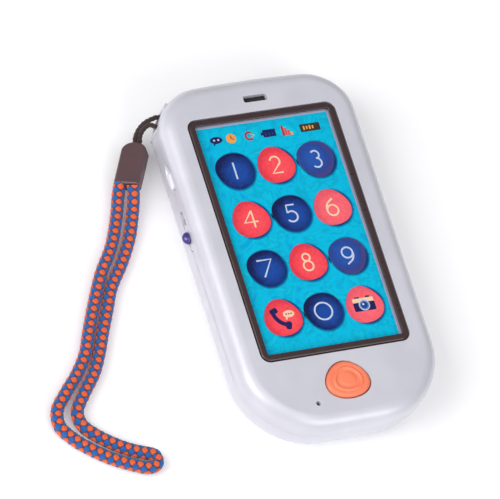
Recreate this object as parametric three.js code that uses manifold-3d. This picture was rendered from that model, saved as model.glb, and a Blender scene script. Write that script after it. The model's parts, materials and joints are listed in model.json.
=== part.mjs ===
// Toy cell phone with a printed touch screen, side controls, a battery bay and a wrist strap.
// Millimetres. The phone lies on its back: X across its width, +Y towards the earpiece, +Z out of the
// screen. The origin is on the flat back, in the middle of the case outline.

import * as THREE from 'three';
import { mergeVertices } from 'three/addons/utils/BufferGeometryUtils.js';
import Module from 'manifold-3d';

const wasm = await Module();
wasm.setup();

// ---------------------------------------------------------------- driving dimensions

const GAP = 0.3;                     // clearance between neighbouring pieces

const CASE_WIDTH = 71.5;
const CASE_LENGTH = 130;
const CASE_DEPTH = 20.5;
const TOP_CORNER = 16;               // corner radii of the outline
const BOTTOM_CORNER = 25;
const END_BULGE = 1.5;               // how far the two ends bow outwards
const PART_LINE = 12.4;              // height of the joint between the two shells
const FACE_ROUND = 5;                // rounding of the face's rim
const BACK_ROUND = 9;                // rounding of the back's rim, across
const BACK_RISE = 8.5;               // and its height
const WALL = 2;

const SCREEN_Y = 6.2;                // middle of the screen
const BEZEL_WIDTH = 54;
const BEZEL_LENGTH = 89.7;
const BEZEL_CORNER = 3;
const BEZEL_BAND = 2.3;
const BEZEL_TOP = 20.7;
const BEZEL_FOOT = 17;
const WINDOW_TOP = 20;
const WINDOW_THICK = 0.8;
const SHEET = { low: 18.6, high: 18.9 };
const TOUCH_PANEL = { low: 18.1, high: 18.3 };
const LIGHT_GUIDE = { width: 46, length: 80, low: 17.1, high: 17.7 };
const BAFFLE = { width: 12, length: 5, low: 17.6, high: 18.2 };

const EAR_SLOT = { y: 56.3, width: 8.6, height: 2.3 };
const HOME = {
  y: -49.3, width: 15.4, height: 13, taper: 0.18, top: 21.4, travel: 0.9, flange: 0.9, foot: 17.3,
};
const MIC = { x: -12.5, y: -55.9, hole: 0.8, radius: 2, top: 17.4 };

const SIDE_Z = 12.9;                 // height of the side controls
const ROCKER = { y: 33.7, length: 7, height: 2.6, proud: 0.5 };
const SLIDER = { y: 12.4, length: 4.5, height: 3.2, proud: 2.1, travel: 4.5, slot: 1 };

const BOARD_Z = 13.2;
const BOARD_THICK = 1.4;
const BOARD_TOP = BOARD_Z + BOARD_THICK;
const ON_BOARD = BOARD_TOP + GAP;     // underside of what stands on the board
const LOW_PARTS_TOP = 15.8;          // top of the low parts on the board
const WIRE_END = 12.9;               // where the wires end, just under the board

const BAY = { halfWidth: 16.9, low: -53.2, high: -3.4, wall: 1.3 };
const CELL = { radius: 5.25, z: 7.6, pitch: 11.1, low: -48.9, high: -5.2 };
const DOOR = { z: 0.3, thick: 1.6, screwY: -56.2 };

const CASE_SCREWS = [[-22, 57.5], [22, 57.5], [-22, -46], [22, -46]];
const BOARD_SCREWS = [[-18, 51], [18, 51]];
const SPEAKER = { y: 33, radius: 13.5 };

const ANCHOR = { angle: 150, width: 7, depth: 6, low: 8.3, high: 14.3, barRadius: 1, barInset: 2.7 };
const TIE_DIAMETER = 1.6;
const BRAID_DIAMETER = 4.5;
const CLAMP = { centre: [-44.1, 44.8, 4.9], heading: 61.3, roll: -30, length: 16.8, width: 8.8, thick: 5 };

// Middle line of the thin tie cord: out of the clamp, round the bar and back into the clamp.
const TIE_ROUTE = [
  [-40.4, 52.9, 4.3], [-39.7, 55.1, 4.9], [-38.4, 57.0, 6.6], [-36.6, 58.1, 8.8], [-34.6, 58.3, 10.6],
  [-32.8, 58.4, 11.3], [-30.5, 57.7, 11.3], [-29.3, 56.4, 11.3], [-29.4, 54.7, 11.3], [-30.8, 53.5, 11.3],
  [-32.4, 53.7, 11.3], [-34.0, 55.0, 11.1], [-35.7, 56.7, 9.8], [-37.4, 56.2, 8.0], [-38.4, 54.9, 6.1],
  [-38.9, 53.0, 5.2], [-39.3, 51.9, 4.9],
];

// Middle line of the braided wrist cord: out of the clamp, round its far loop and back.
const BRAID_ROUTE = [
  [-50.6, 37.8, 3.8], [-51.7, 35.0, 3.1], [-53.4, 30.0, 2.5], [-58.9, 18.3, 2.3], [-65.4, 9.0, 2.3],
  [-71.2, -1.5, 2.3], [-76.4, -12.0, 2.3], [-79.3, -18.2, 2.3], [-84.2, -24.9, 2.3],
  [-90.4, -31.3, 2.3], [-94.9, -36.8, 2.3], [-95.5, -42.3, 2.3], [-92.2, -47.3, 2.3],
  [-87.4, -51.8, 2.3], [-81.0, -56.4, 2.3], [-74.7, -59.6, 2.3], [-69.4, -61.5, 2.3],
  [-66.4, -60.6, 2.3], [-66.5, -57.6, 2.3], [-69.4, -56.2, 2.3], [-73.2, -54.7, 2.3],
  [-78.2, -51.9, 2.3], [-84.3, -47.2, 2.3], [-87.9, -42.9, 2.3], [-88.2, -38.3, 2.3],
  [-84.2, -32.5, 2.3], [-78.4, -25.6, 2.3], [-74.3, -18.5, 2.3], [-71.5, -12.6, 2.3],
  [-67.6, -4.9, 2.3], [-63.4, 3.4, 2.3], [-57.2, 11.6, 2.3], [-51.6, 20.6, 2.4],
  [-48.2, 29.0, 3.3], [-47.2, 32.6, 4.5], [-46.7, 35.5, 5.7],
];

// ---------------------------------------------------------------- finishes

const finish = (color, roughness, metalness = 0, extra = {}) =>
  () => new THREE.MeshStandardMaterial({ color, roughness, metalness, ...extra });

const PEARL = finish(0xd9d9e2, 0.32, 0.15);
const BROWN = finish(0x4b3232, 0.3);
const CLEAR = finish(0xffffff, 0.05, 0, { transparent: true, opacity: 0.25 });
const PRINT = finish(0x00b0d4, 0.5);
const FILM = finish(0xd8dede, 0.3, 0, { transparent: true, opacity: 0.5 });
const DIFFUSER = finish(0xf2f2ee, 0.6);
const LED = finish(0xfff6d0, 0.3);
const BOARD = finish(0x1f6b3a, 0.5);
const EPOXY = finish(0x111114, 0.4);
const BLACK = finish(0x1b1b1d, 0.55);
const STEEL = finish(0xb9bcc0, 0.3, 0.9);
const ORANGE = finish(0xfa7855, 0.4);
const NAVY_KNOB = finish(0x372d82, 0.25);
const WHITE = finish(0xeceaf0, 0.35);
const PAPER = finish(0x2c2b2a, 0.8);
const CELL_WRAP = finish(0x2f6f9f, 0.35);
const RED_WIRE = finish(0xc02020, 0.5);
const BLACK_WIRE = finish(0x161616, 0.5);
const PLUM = finish(0x64484b, 0.45);
const TIE_CORD = finish(0x2c1c20, 0.9);
const BRAID = finish(0xff6932, 0.85);

// ---------------------------------------------------------------- solids

/** Turns a closed geometry into a solid that can be cut and joined. */
function solid(geometry) {
  const bare = geometry.index ? geometry.toNonIndexed() : geometry.clone();
  for (const name of Object.keys(bare.attributes)) {
    if (name !== 'position') bare.deleteAttribute(name);
  }
  const merged = mergeVertices(bare, 1e-4);
  const vertProperties = new Float32Array(merged.attributes.position.array);
  const triVerts = new Uint32Array(merged.index.array);
  return new wasm.Manifold(new wasm.Mesh({ numProp: 3, vertProperties, triVerts }));
}

/** Joins several solids into one. */
const join = (first, ...rest) => rest.reduce((sum, piece) => sum.add(piece), first);

/** Cuts several solids out of the first one. */
const cut = (first, ...rest) => rest.reduce((left, piece) => left.subtract(piece), first);

/** Turns a solid back into a geometry. */
function geometryOf(body) {
  const mesh = body.getMesh();
  const geometry = new THREE.BufferGeometry();
  const count = mesh.vertProperties.length / mesh.numProp;
  const positions = new Float32Array(count * 3);
  for (let i = 0; i < count; i++) {
    for (let k = 0; k < 3; k++) positions[i * 3 + k] = mesh.vertProperties[i * mesh.numProp + k];
  }
  geometry.setAttribute('position', new THREE.BufferAttribute(positions, 3));
  geometry.setIndex(new THREE.BufferAttribute(new Uint32Array(mesh.triVerts), 1));
  return geometry;
}

/** A box between two corners. */
function block(low, high) {
  const size = high.map((value, i) => value - low[i]);
  const geometry = new THREE.BoxGeometry(...size);
  geometry.translate(...low.map((value, i) => value + size[i] / 2));
  return solid(geometry);
}

/** A box given by its middle, its size and its bottom and top. */
const plate = (x, y, width, length, low, high) =>
  block([x - width / 2, y - length / 2, low], [x + width / 2, y + length / 2, high]);

/** An upright rod. */
function rod(x, y, radius, low, high, sides = 16) {
  const geometry = new THREE.CylinderGeometry(radius, radius, high - low, sides);
  geometry.rotateX(Math.PI / 2);
  geometry.translate(x, y, (low + high) / 2);
  return solid(geometry);
}

/** A rod that lies along Y. */
function rodAlongY(x, z, radius, low, high, sides = 20) {
  const geometry = new THREE.CylinderGeometry(radius, radius, high - low, sides);
  geometry.translate(x, (low + high) / 2, z);
  return solid(geometry);
}

/** A flat prism of an outline, between two heights. */
function prism(shape, low, high, curveSegments = 6) {
  const settings = { depth: high - low, bevelEnabled: false, curveSegments };
  const geometry = new THREE.ExtrudeGeometry(shape, settings);
  geometry.translate(0, 0, low);
  return solid(geometry);
}

/** A rectangle with round corners, about a middle point. */
function roundedRectangle(x, y, width, length, radius) {
  const shape = new THREE.Shape();
  const [w, h] = [width / 2 - radius, length / 2 - radius];
  shape.absarc(x + w, y + h, radius, 0, Math.PI / 2);
  shape.absarc(x - w, y + h, radius, Math.PI / 2, Math.PI);
  shape.absarc(x - w, y - h, radius, Math.PI, Math.PI * 1.5);
  shape.absarc(x + w, y - h, radius, Math.PI * 1.5, Math.PI * 2);
  shape.closePath();
  return shape;
}

/** A tube of a given diameter along a list of points. */
function tube(points, diameter, steps, sides = 8) {
  const path = new THREE.CatmullRomCurve3(points.map((p) => new THREE.Vector3(...p)), false, 'centripetal');
  const section = new THREE.Shape();
  for (let i = 0; i < sides; i++) {
    const turn = (i / sides) * 2 * Math.PI;
    const [u, v] = [Math.cos(turn) * diameter / 2, Math.sin(turn) * diameter / 2];
    if (i === 0) section.moveTo(u, v);
    else section.lineTo(u, v);
  }
  section.closePath();
  return solid(new THREE.ExtrudeGeometry(section, { steps, bevelEnabled: false, extrudePath: path }));
}

// ---------------------------------------------------------------- case outline

/** The case outline: round corners, larger at the bottom, and ends that bow outwards. */
function caseOutline() {
  const perCorner = 9;
  const points = [];
  const corners = [
    [1, 1, TOP_CORNER, 0], [-1, 1, TOP_CORNER, 90], [-1, -1, BOTTOM_CORNER, 180], [1, -1, BOTTOM_CORNER, 270],
  ];
  for (const [sideX, sideY, radius, start] of corners) {
    for (let i = 0; i <= perCorner; i++) {
      const turn = THREE.MathUtils.degToRad(start + (90 * i) / perCorner);
      const x = sideX * (CASE_WIDTH / 2 - radius) + radius * Math.cos(turn);
      const y = sideY * (CASE_LENGTH / 2 - radius) + radius * Math.sin(turn);
      const bow = END_BULGE * (2 * x / CASE_WIDTH) ** 2 * Math.abs(Math.sin(turn));
      points.push(new THREE.Vector2(x, y - sideY * bow));
    }
    if (radius === TOP_CORNER && sideX === 1) points.push(new THREE.Vector2(0, CASE_LENGTH / 2));
  }
  return new THREE.Shape(points);
}

/** The case outline grown to a slab whose lower rim is rounded; inset moves every wall inwards. */
function softSlab(inset, across, rise, low, high) {
  const geometry = new THREE.ExtrudeGeometry(caseOutline(), {
    depth: high - low - rise, bevelSize: across, bevelThickness: rise, bevelOffset: -across - inset,
    bevelSegments: 5, curveSegments: 1,
  });
  geometry.translate(0, 0, low + rise);
  return solid(geometry);
}

/** Turns a slab upside down, so that its rounded rim is at the given top. */
function faceSlab(inset, radius, top) {
  const slab = softSlab(inset, radius, radius, 0, CASE_DEPTH * 2);
  return slab.mirror([0, 0, 1]).translate([0, 0, top]);
}

/** Keeps the part of a body between two heights. */
const between = (body, low, high) => body.intersect(block([-90, -90, low], [90, 90, high]));

/** The home button's pebble outline, grown by a margin. */
function pebble(margin) {
  const points = [];
  const sides = 28;
  for (let i = 0; i < sides; i++) {
    const turn = (i / sides) * 2 * Math.PI;
    const width = (HOME.width / 2 + margin) * (1 - HOME.taper * Math.sin(turn));
    const along = HOME.y + (HOME.height / 2 + margin) * Math.sin(turn);
    points.push(new THREE.Vector2(width * Math.cos(turn), along));
  }
  return new THREE.Shape(points);
}

/** A block turned about Z into the anchor corner: out is measured from the corner's centre. */
function anchorBlock(inner, outer, halfWidth, low, high) {
  const geometry = new THREE.BoxGeometry(outer - inner, halfWidth * 2, high - low);
  geometry.translate((inner + outer) / 2, 0, (low + high) / 2);
  geometry.rotateZ(THREE.MathUtils.degToRad(ANCHOR.angle));
  geometry.translate(-CASE_WIDTH / 2 + TOP_CORNER, CASE_LENGTH / 2 - TOP_CORNER, 0);
  return solid(geometry);
}

/** The place of the anchor bar in X and Y. */
function anchorBarPlace() {
  const turn = THREE.MathUtils.degToRad(ANCHOR.angle);
  const out = TOP_CORNER - ANCHOR.barInset;
  return [
    -CASE_WIDTH / 2 + TOP_CORNER + out * Math.cos(turn), CASE_LENGTH / 2 - TOP_CORNER + out * Math.sin(turn),
  ];
}

// ---------------------------------------------------------------- cuts shared by both shells

const SIDE = -CASE_WIDTH / 2;
const ANCHOR_FLOOR = TOP_CORNER - ANCHOR.depth;

/** The rocker's recess, the slider's slot and the strap anchor's pocket. */
function sideCuts() {
  const rockerHole = block(
    [SIDE - 3, ROCKER.y - ROCKER.length / 2 - GAP, SIDE_Z - ROCKER.height / 2 - GAP],
    [SIDE + 4, ROCKER.y + ROCKER.length / 2 + GAP, SIDE_Z + ROCKER.height / 2 + GAP],
  );
  const rockerDish = block(
    [SIDE - 3, ROCKER.y - ROCKER.length / 2 - 2, SIDE_Z - ROCKER.height / 2 - 0.8],
    [SIDE + 0.8, ROCKER.y + ROCKER.length / 2 + 2, SIDE_Z + ROCKER.height / 2 + 0.8],
  );
  const sliderSlot = block(
    [SIDE - 3, SLIDER.y - SLIDER.length / 2 - GAP, SIDE_Z - SLIDER.slot],
    [SIDE + 4, SLIDER.y + SLIDER.length / 2 + SLIDER.travel + GAP, SIDE_Z + SLIDER.slot],
  );
  const pocket = anchorBlock(ANCHOR_FLOOR, TOP_CORNER + 4, ANCHOR.width / 2, ANCHOR.low, ANCHOR.high);
  return [rockerHole, rockerDish, sliderSlot, pocket];
}

/** The solid corner that the anchor pocket is cut into. */
const anchorBoss = (low, high) =>
  anchorBlock(ANCHOR_FLOOR - 1.8, TOP_CORNER + 4, ANCHOR.width / 2 + 1.8, low, high);

// ---------------------------------------------------------------- the two shells

const SCREW_SEAT = 4;                // top of the counterbore that a case screw's head sits in
const DOOR_BOSS_LOW = 3.5;

function rearShell() {
  const top = PART_LINE - GAP / 2;
  const outside = between(softSlab(0, BACK_ROUND, BACK_RISE, 0, 50), 0, top);
  const inside = softSlab(WALL, BACK_ROUND - WALL, BACK_RISE - WALL, WALL, 50);
  const ribs = [
    cut(
      block(
        [-BAY.halfWidth - BAY.wall, BAY.low - BAY.wall, 1.5],
        [BAY.halfWidth + BAY.wall, BAY.high + BAY.wall, top],
      ),
      block([-BAY.halfWidth, BAY.low, 1], [BAY.halfWidth, BAY.high, top + 1]),
    ),
    rod(0, DOOR.screwY, 2.5, DOOR_BOSS_LOW, 10.3),
    block([-2.5, DOOR.screwY - 4, DOOR_BOSS_LOW], [2.5, BAY.low - 0.2, 10.3]),
    ...CASE_SCREWS.map(([x, y]) => rod(x, y, 3.2, 0.5, top)),
    ...BOARD_SCREWS.map(([x, y]) => rod(x, y, 2.3, 1.5, BOARD_Z - GAP - 0.1)),
    anchorBoss(5.5, top),
  ];
  const body = join(outside.subtract(inside), ...ribs.map((rib) => rib.intersect(join(outside, inside))));
  const [barX, barY] = anchorBarPlace();
  return cut(
    body,
    ...sideCuts(),
    doorBlank(GAP, -1, DOOR.z + DOOR.thick + GAP),
    rod(0, DOOR.screwY, 3.5, -1, DOOR_BOSS_LOW),
    rod(0, DOOR.screwY, 1.3, DOOR_BOSS_LOW - 1, 9.3),
    ...CASE_SCREWS.flatMap(([x, y]) => [rod(x, y, 2.6, -1, SCREW_SEAT), rod(x, y, 1.3, SCREW_SEAT - 1, 14)]),
    ...BOARD_SCREWS.map(([x, y]) => rod(x, y, 1.3, 6, 14)),
    ...speakerHoles(),
    rod(barX, barY, ANCHOR.barRadius + GAP, 6.3, 12),
  );
}

/** Sound holes in the back, in two rings round a middle hole. */
function speakerHoles() {
  const holes = [rod(0, SPEAKER.y, 0.9, -1, 3, 10)];
  for (const [count, ring] of [[6, 4], [10, 7.6]]) {
    for (let i = 0; i < count; i++) {
      const turn = (i / count) * 2 * Math.PI;
      holes.push(rod(ring * Math.cos(turn), SPEAKER.y + ring * Math.sin(turn), 0.9, -1, 3, 10));
    }
  }
  return holes;
}

function frontShell() {
  const bottom = PART_LINE + GAP / 2;
  const outside = between(faceSlab(0, FACE_ROUND, CASE_DEPTH), bottom, CASE_DEPTH);
  const inside = faceSlab(WALL, FACE_ROUND - WALL, CASE_DEPTH - WALL);
  const bosses = [
    ...CASE_SCREWS.map(([x, y]) => rod(x, y, 2.8, bottom, CASE_DEPTH - 1)),
    anchorBoss(bottom, 16),
  ];
  const body = join(outside.subtract(inside), ...bosses.map((boss) => boss.intersect(outside)));
  const screenHole = roundedRectangle(
    0, SCREEN_Y, BEZEL_WIDTH + 2 * GAP, BEZEL_LENGTH + 2 * GAP, BEZEL_CORNER + GAP,
  );
  const earSlot = roundedRectangle(0, EAR_SLOT.y, EAR_SLOT.width, EAR_SLOT.height, 0.6);
  const [barX, barY] = anchorBarPlace();
  return cut(
    body,
    ...sideCuts(),
    prism(screenHole, 5, 30),
    prism(earSlot, 15, 30, 3),
    prism(pebble(GAP), 15, 30),
    rod(MIC.x, MIC.y, MIC.hole, 15, 30, 10),
    ...CASE_SCREWS.map(([x, y]) => rod(x, y, 1.3, 5, 17.2)),
    rod(barX, barY, ANCHOR.barRadius + GAP, 12, 15.4),
  );
}

// ---------------------------------------------------------------- screen stack

function bezelFrame() {
  const outline = roundedRectangle(0, SCREEN_Y, BEZEL_WIDTH, BEZEL_LENGTH, BEZEL_CORNER);
  const sight = roundedRectangle(
    0, SCREEN_Y, BEZEL_WIDTH - 2 * BEZEL_BAND, BEZEL_LENGTH - 2 * BEZEL_BAND, 0.5,
  );
  const seat = plate(
    0, SCREEN_Y, BEZEL_WIDTH - BEZEL_BAND, BEZEL_LENGTH - BEZEL_BAND, BEZEL_FOOT - 1, WINDOW_TOP + GAP,
  );
  return cut(prism(outline, BEZEL_FOOT, BEZEL_TOP), prism(sight, BEZEL_FOOT - 1, 30, 2), seat);
}

/** A sheet that lies in the bezel's seat. */
const screenLayer = (low, high) => plate(
  0, SCREEN_Y, BEZEL_WIDTH - BEZEL_BAND - 2 * GAP, BEZEL_LENGTH - BEZEL_BAND - 2 * GAP, low, high,
);

// ---------------------------------------------------------------- controls

/** The home button: a pebble with a rounded top edge, on a flange that stops under the shell. */
function homeButton() {
  const flangeTop = CASE_DEPTH - WALL - GAP;
  const geometry = new THREE.ExtrudeGeometry(pebble(0), {
    depth: HOME.top - 1 - flangeTop, bevelSize: 0.8, bevelThickness: 1, bevelOffset: -0.8, bevelSegments: 3,
  });
  geometry.translate(0, 0, flangeTop);
  const cap = between(solid(geometry), flangeTop - 0.5, 30);
  return cap.add(prism(pebble(HOME.flange), HOME.foot, flangeTop));
}

function homeSwitch() {
  const top = HOME.foot - HOME.travel - 0.1;
  const body = plate(0, HOME.y, 6, 6, ON_BOARD, LOW_PARTS_TOP);
  return join(body, rod(0, HOME.y, 1.5, LOW_PARTS_TOP - 0.1, top));
}

function volumeRocker() {
  const bar = block(
    [SIDE - ROCKER.proud, ROCKER.y - ROCKER.length / 2, SIDE_Z - ROCKER.height / 2],
    [SIDE + 2.6, ROCKER.y + ROCKER.length / 2, SIDE_Z + ROCKER.height / 2],
  );
  const prongs = [-3, 3].map((offset) => plate(
    SIDE + 3.1, ROCKER.y + offset, 1.2, 1.6, SIDE_Z - 1, SIDE_Z + 1,
  ));
  const [low, high] = [SIDE_Z - ROCKER.height / 2 - 0.4, SIDE_Z + ROCKER.height / 2];
  const pivot = rod(SIDE + 3.1, ROCKER.y, 0.7, low, high, 12);
  return join(bar, ...prongs, pivot);
}

/** A tact switch that faces the rocker, hanging from the board's side tab. */
const volumeSwitch = (offset) => join(
  plate(-29.4, ROCKER.y + offset, 3, 3.4, 10.6, 12.9),
  plate(-31.1, ROCKER.y + offset, 0.8, 1.4, 11.2, 12.6),
);

function sliderKnob() {
  const radius = SLIDER.height / 2;
  const grip = new THREE.CapsuleGeometry(radius, SLIDER.length - SLIDER.height, 4, 12);
  grip.scale(SLIDER.proud / radius, 1, 1);
  grip.translate(SIDE - GAP, SLIDER.y, SIDE_Z);
  const outside = block([SIDE - 9, -90, 0], [SIDE - GAP, 90, 30]);
  const neck = block(
    [SIDE - GAP - 0.2, SLIDER.y - SLIDER.length / 2 + 0.6, SIDE_Z - 0.7],
    [SIDE + WALL + 0.6, SLIDER.y + SLIDER.length / 2 - 0.6, SIDE_Z + 0.7],
  );
  const shoe = block(
    [SIDE + WALL + GAP, SLIDER.y - 4, SIDE_Z - 1.7], [SIDE + WALL + GAP + 0.9, SLIDER.y + 4, SIDE_Z + 1.7],
  );
  return join(solid(grip).intersect(outside), neck, shoe);
}

const sliderSwitch = () => plate(-30, SLIDER.y + SLIDER.travel / 2, 4, 13, 9.6, 12.9);

// ---------------------------------------------------------------- board and what is on it

function circuitBoard() {
  const main = block([-26, -41, BOARD_Z], [26, 53.6, BOARD_TOP]);
  const tongue = block([-16, -58.5, BOARD_Z], [16, -40, BOARD_TOP]);
  const volumeTab = block([-31.2, 28, BOARD_Z], [-25, 39.5, BOARD_TOP]);
  const slideTab = block([-31.2, 7, BOARD_Z], [-25, 22.5, BOARD_TOP]);
  const holes = BOARD_SCREWS.map(([x, y]) => rod(x, y, 1.4, BOARD_Z - 1, BOARD_TOP + 1));
  return cut(join(main, tongue, volumeTab, slideTab), ...holes);
}

/** A dome of potting over the sound chip, on the board's underside. */
function soundChip() {
  const [radius, height] = [5, 1.5];
  const profile = [new THREE.Vector2(0, -height)];
  for (let i = 1; i <= 4; i++) {
    const turn = (i / 4) * (Math.PI / 2);
    profile.push(new THREE.Vector2(radius * Math.sin(turn), -height * Math.cos(turn)));
  }
  profile.push(new THREE.Vector2(0, 0));
  const geometry = new THREE.LatheGeometry(profile, 18);
  geometry.rotateX(Math.PI / 2);
  geometry.translate(0, 9, BOARD_Z - GAP);
  return solid(geometry);
}

function capacitor() {
  return rodAlongY(17, 9.8, 2.5, 6, 13, 16);
}

const led = (y) => plate(0, y, 3, 2, ON_BOARD, LOW_PARTS_TOP);

/** An insulated wire between two pieces inside the case. */
const wire = (...points) => tube(points, 1.2, 10);

// ---------------------------------------------------------------- loudspeaker

/** A ring, dish or cup turned about the speaker's axis; profile points are [radius, height]. */
function turned(profile, y, sides = 28) {
  const geometry = new THREE.LatheGeometry(profile.map(([r, h]) => new THREE.Vector2(r, h)), sides);
  geometry.rotateX(Math.PI / 2);
  geometry.translate(0, y, 0);
  return solid(geometry);
}

const speakerFrame = () => turned(
  [[12.1, 2.4], [SPEAKER.radius, 2.4], [SPEAKER.radius, 3.4], [8.2, 6.9], [6.6, 6.9], [6.6, 6.1], [7.8, 6.1],
    [12.1, 3.6], [12.1, 2.4]], SPEAKER.y,
);
const speakerCone = () => turned(
  [[0, 3.4], [3.2, 4.0], [4.4, 5.0], [7.2, 4.2], [10.2, 2.7], [11.7, 2.7], [11.7, 3.1], [10.4, 3.1],
    [7.4, 4.8], [5.4, 5.8], [4.2, 5.8], [2.9, 4.5], [0, 3.9]], SPEAKER.y,
);
const speakerMagnet = () => turned([[0, 7.2], [7.4, 7.2], [7.4, 10.4], [0, 10.4]], SPEAKER.y);

// ---------------------------------------------------------------- battery bay

/** The door's plan with its screw tongue, grown by a margin, between two heights. */
function doorBlank(margin, low, high) {
  const main = block(
    [-BAY.halfWidth - 0.8 - margin, BAY.low - 0.7 - margin, low],
    [BAY.halfWidth + 0.8 + margin, BAY.high + 0.6 + margin, high],
  );
  return main.add(block([-4 - margin, -59.2 - margin, low], [4 + margin, BAY.low, high]));
}

function batteryDoor() {
  const high = DOOR.z + DOOR.thick;
  const boss = rod(0, DOOR.screwY, 3, DOOR.z + 1, 3.2);
  const grips = [-1, 0, 1].map((row) => plate(0, -11 - row * 2.4, 12, 1, DOOR.z - 1, DOOR.z + 0.5));
  const panel = doorBlank(0, DOOR.z, high).intersect(softSlab(0, BACK_ROUND, BACK_RISE, 0, 50));
  return cut(
    panel.add(boss),
    rod(0, DOOR.screwY, 2.4, DOOR.z - 1, 1.95),
    rod(0, DOOR.screwY, 1.35, 1, 5),
    ...grips,
  );
}

/** A screw with a cross recess in its head; the head faces down. */
function screw(x, y, headRadius, headLow, headHigh, shaftRadius, tip) {
  const recess = [[1, 0.25], [0.25, 1]].map(([a, b]) => plate(
    x, y, headRadius * a, headRadius * b, headLow - 1, headLow + 0.6,
  ));
  const head = rod(x, y, headRadius, headLow, headHigh);
  return cut(join(head, rod(x, y, shaftRadius, headHigh - 0.2, tip)), ...recess);
}

const cell = (x) => join(
  rodAlongY(x, CELL.z, CELL.radius, CELL.low, CELL.high),
  rodAlongY(x, CELL.z, 1.9, CELL.high - 0.1, CELL.high + 0.8, 12),
);

/** A spring contact: a plate on the bay's end wall and a coil that presses on a cell. */
function springContact(x) {
  const backing = block([x - 4, BAY.low + GAP, CELL.z - 4], [x + 4, BAY.low + GAP + 0.5, CELL.z + 4]);
  const [turns, perTurn] = [2.5, 10];
  const length = CELL.low - BAY.low - 2 * GAP - 0.9;
  const points = [];
  for (let i = 0; i <= turns * perTurn; i++) {
    const along = i / (turns * perTurn);
    const turn = (i / perTurn) * 2 * Math.PI;
    const radius = 3.4 - 1.4 * along;
    const reach = BAY.low + GAP + 0.75 + along * length;
    points.push([x + radius * Math.cos(turn), reach, CELL.z + radius * Math.sin(turn)]);
  }
  return backing.add(tube(points, 0.7, turns * perTurn, 6));
}

const flatContact = (x) => block(
  [x - 4, BAY.high - GAP - 0.4, CELL.z - 4],
  [x + 4, BAY.high - GAP, CELL.z + 4],
);

// ---------------------------------------------------------------- strap

/** The clamp: a flat bar with one arched end. */
function strapClamp() {
  const half = CLAMP.width / 2;
  const shoulder = CLAMP.length / 2 - half * 0.8;
  const shape = new THREE.Shape();
  shape.moveTo(-CLAMP.length / 2, -half - 0.2);
  shape.lineTo(shoulder, -half + 0.2);
  shape.absellipse(shoulder, 0, half * 0.8, half - 0.2, -Math.PI / 2, Math.PI / 2);
  shape.lineTo(-CLAMP.length / 2, half + 0.2);
  shape.closePath();
  const geometry = new THREE.ExtrudeGeometry(shape, {
    depth: CLAMP.thick - 1.6, bevelSize: 0.8, bevelThickness: 0.8, bevelOffset: -0.8, bevelSegments: 2,
    curveSegments: 12,
  });
  geometry.translate(0, 0, -CLAMP.thick / 2 + 0.8);
  geometry.rotateX(THREE.MathUtils.degToRad(CLAMP.roll));
  geometry.rotateZ(THREE.MathUtils.degToRad(CLAMP.heading));
  geometry.translate(...CLAMP.centre);
  return solid(geometry);
}

// ---------------------------------------------------------------- assembly

const phone = new THREE.Group();

/** Adds one named piece. */
function add(name, body, material) {
  const mesh = new THREE.Mesh(geometryOf(body), material());
  mesh.name = name;
  phone.add(mesh);
}

add('rear_shell', rearShell(), PEARL);
add('front_shell', frontShell(), PEARL);
add('bezel_frame', bezelFrame(), BROWN);
add('screen_window', screenLayer(WINDOW_TOP - WINDOW_THICK, WINDOW_TOP), CLEAR);
add('printed_screen_sheet', screenLayer(SHEET.low, SHEET.high), PRINT);
add('touch_panel', screenLayer(TOUCH_PANEL.low, TOUCH_PANEL.high), FILM);
add(
  'light_guide', plate(0, SCREEN_Y, LIGHT_GUIDE.width, LIGHT_GUIDE.length, LIGHT_GUIDE.low, LIGHT_GUIDE.high),
  DIFFUSER,
);
add('earpiece_baffle', plate(0, EAR_SLOT.y, BAFFLE.width, BAFFLE.length, BAFFLE.low, BAFFLE.high), PAPER);

add('home_button', homeButton(), ORANGE);
add('home_switch', homeSwitch(), BLACK);
add('volume_rocker', volumeRocker(), WHITE);
add('volume_switch_down', volumeSwitch(-3), BLACK);
add('volume_switch_up', volumeSwitch(3), BLACK);
add('slide_switch_knob', sliderKnob(), NAVY_KNOB);
add('slide_switch_body', sliderSwitch(), STEEL);

add('circuit_board', circuitBoard(), BOARD);
add('sound_chip', soundChip(), EPOXY);
add('capacitor', capacitor(), BLACK);
add('microphone', rod(MIC.x, MIC.y, MIC.radius, ON_BOARD, MIC.top, 14), STEEL);
[-28, 0, 28].forEach((offset, i) => add(`led_${i + 1}`, led(SCREEN_Y + offset), LED));

add('speaker_frame', speakerFrame(), BLACK);
add('speaker_cone', speakerCone(), PAPER);
add('speaker_magnet', speakerMagnet(), STEEL);
const redLead = wire([-9, 25.2, 6.9], [-12, 21, 8.4], [-14, 17, 10.6], [-14, 16, WIRE_END]);
const blackLead = wire([9, 25.2, 6.9], [12, 21, 8.4], [12, 18, 10.6], [11, 17, WIRE_END]);
add('speaker_wire_red', redLead, RED_WIRE);
add('speaker_wire_black', blackLead, BLACK_WIRE);

[-1, 0, 1].forEach((side, i) => {
  add(`battery_${i + 1}`, cell(side * CELL.pitch), CELL_WRAP);
  add(`spring_contact_${i + 1}`, springContact(side * CELL.pitch), STEEL);
  add(`flat_contact_${i + 1}`, flatContact(side * CELL.pitch), STEEL);
});
add('battery_wire_red', wire([-11, -1.8, 6], [-11, 0.5, 7], [-12, 2.5, 10], [-12, 3, WIRE_END]), RED_WIRE);
add('battery_wire_black', wire([6, -1.8, 6], [6, 0.5, 7], [7, 2.5, 10], [7, 3, WIRE_END]), BLACK_WIRE);
add('battery_door', batteryDoor(), PEARL);
add('door_screw', screw(0, DOOR.screwY, 2.1, 0.6, 1.6, 1, 8.6), STEEL);

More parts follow.
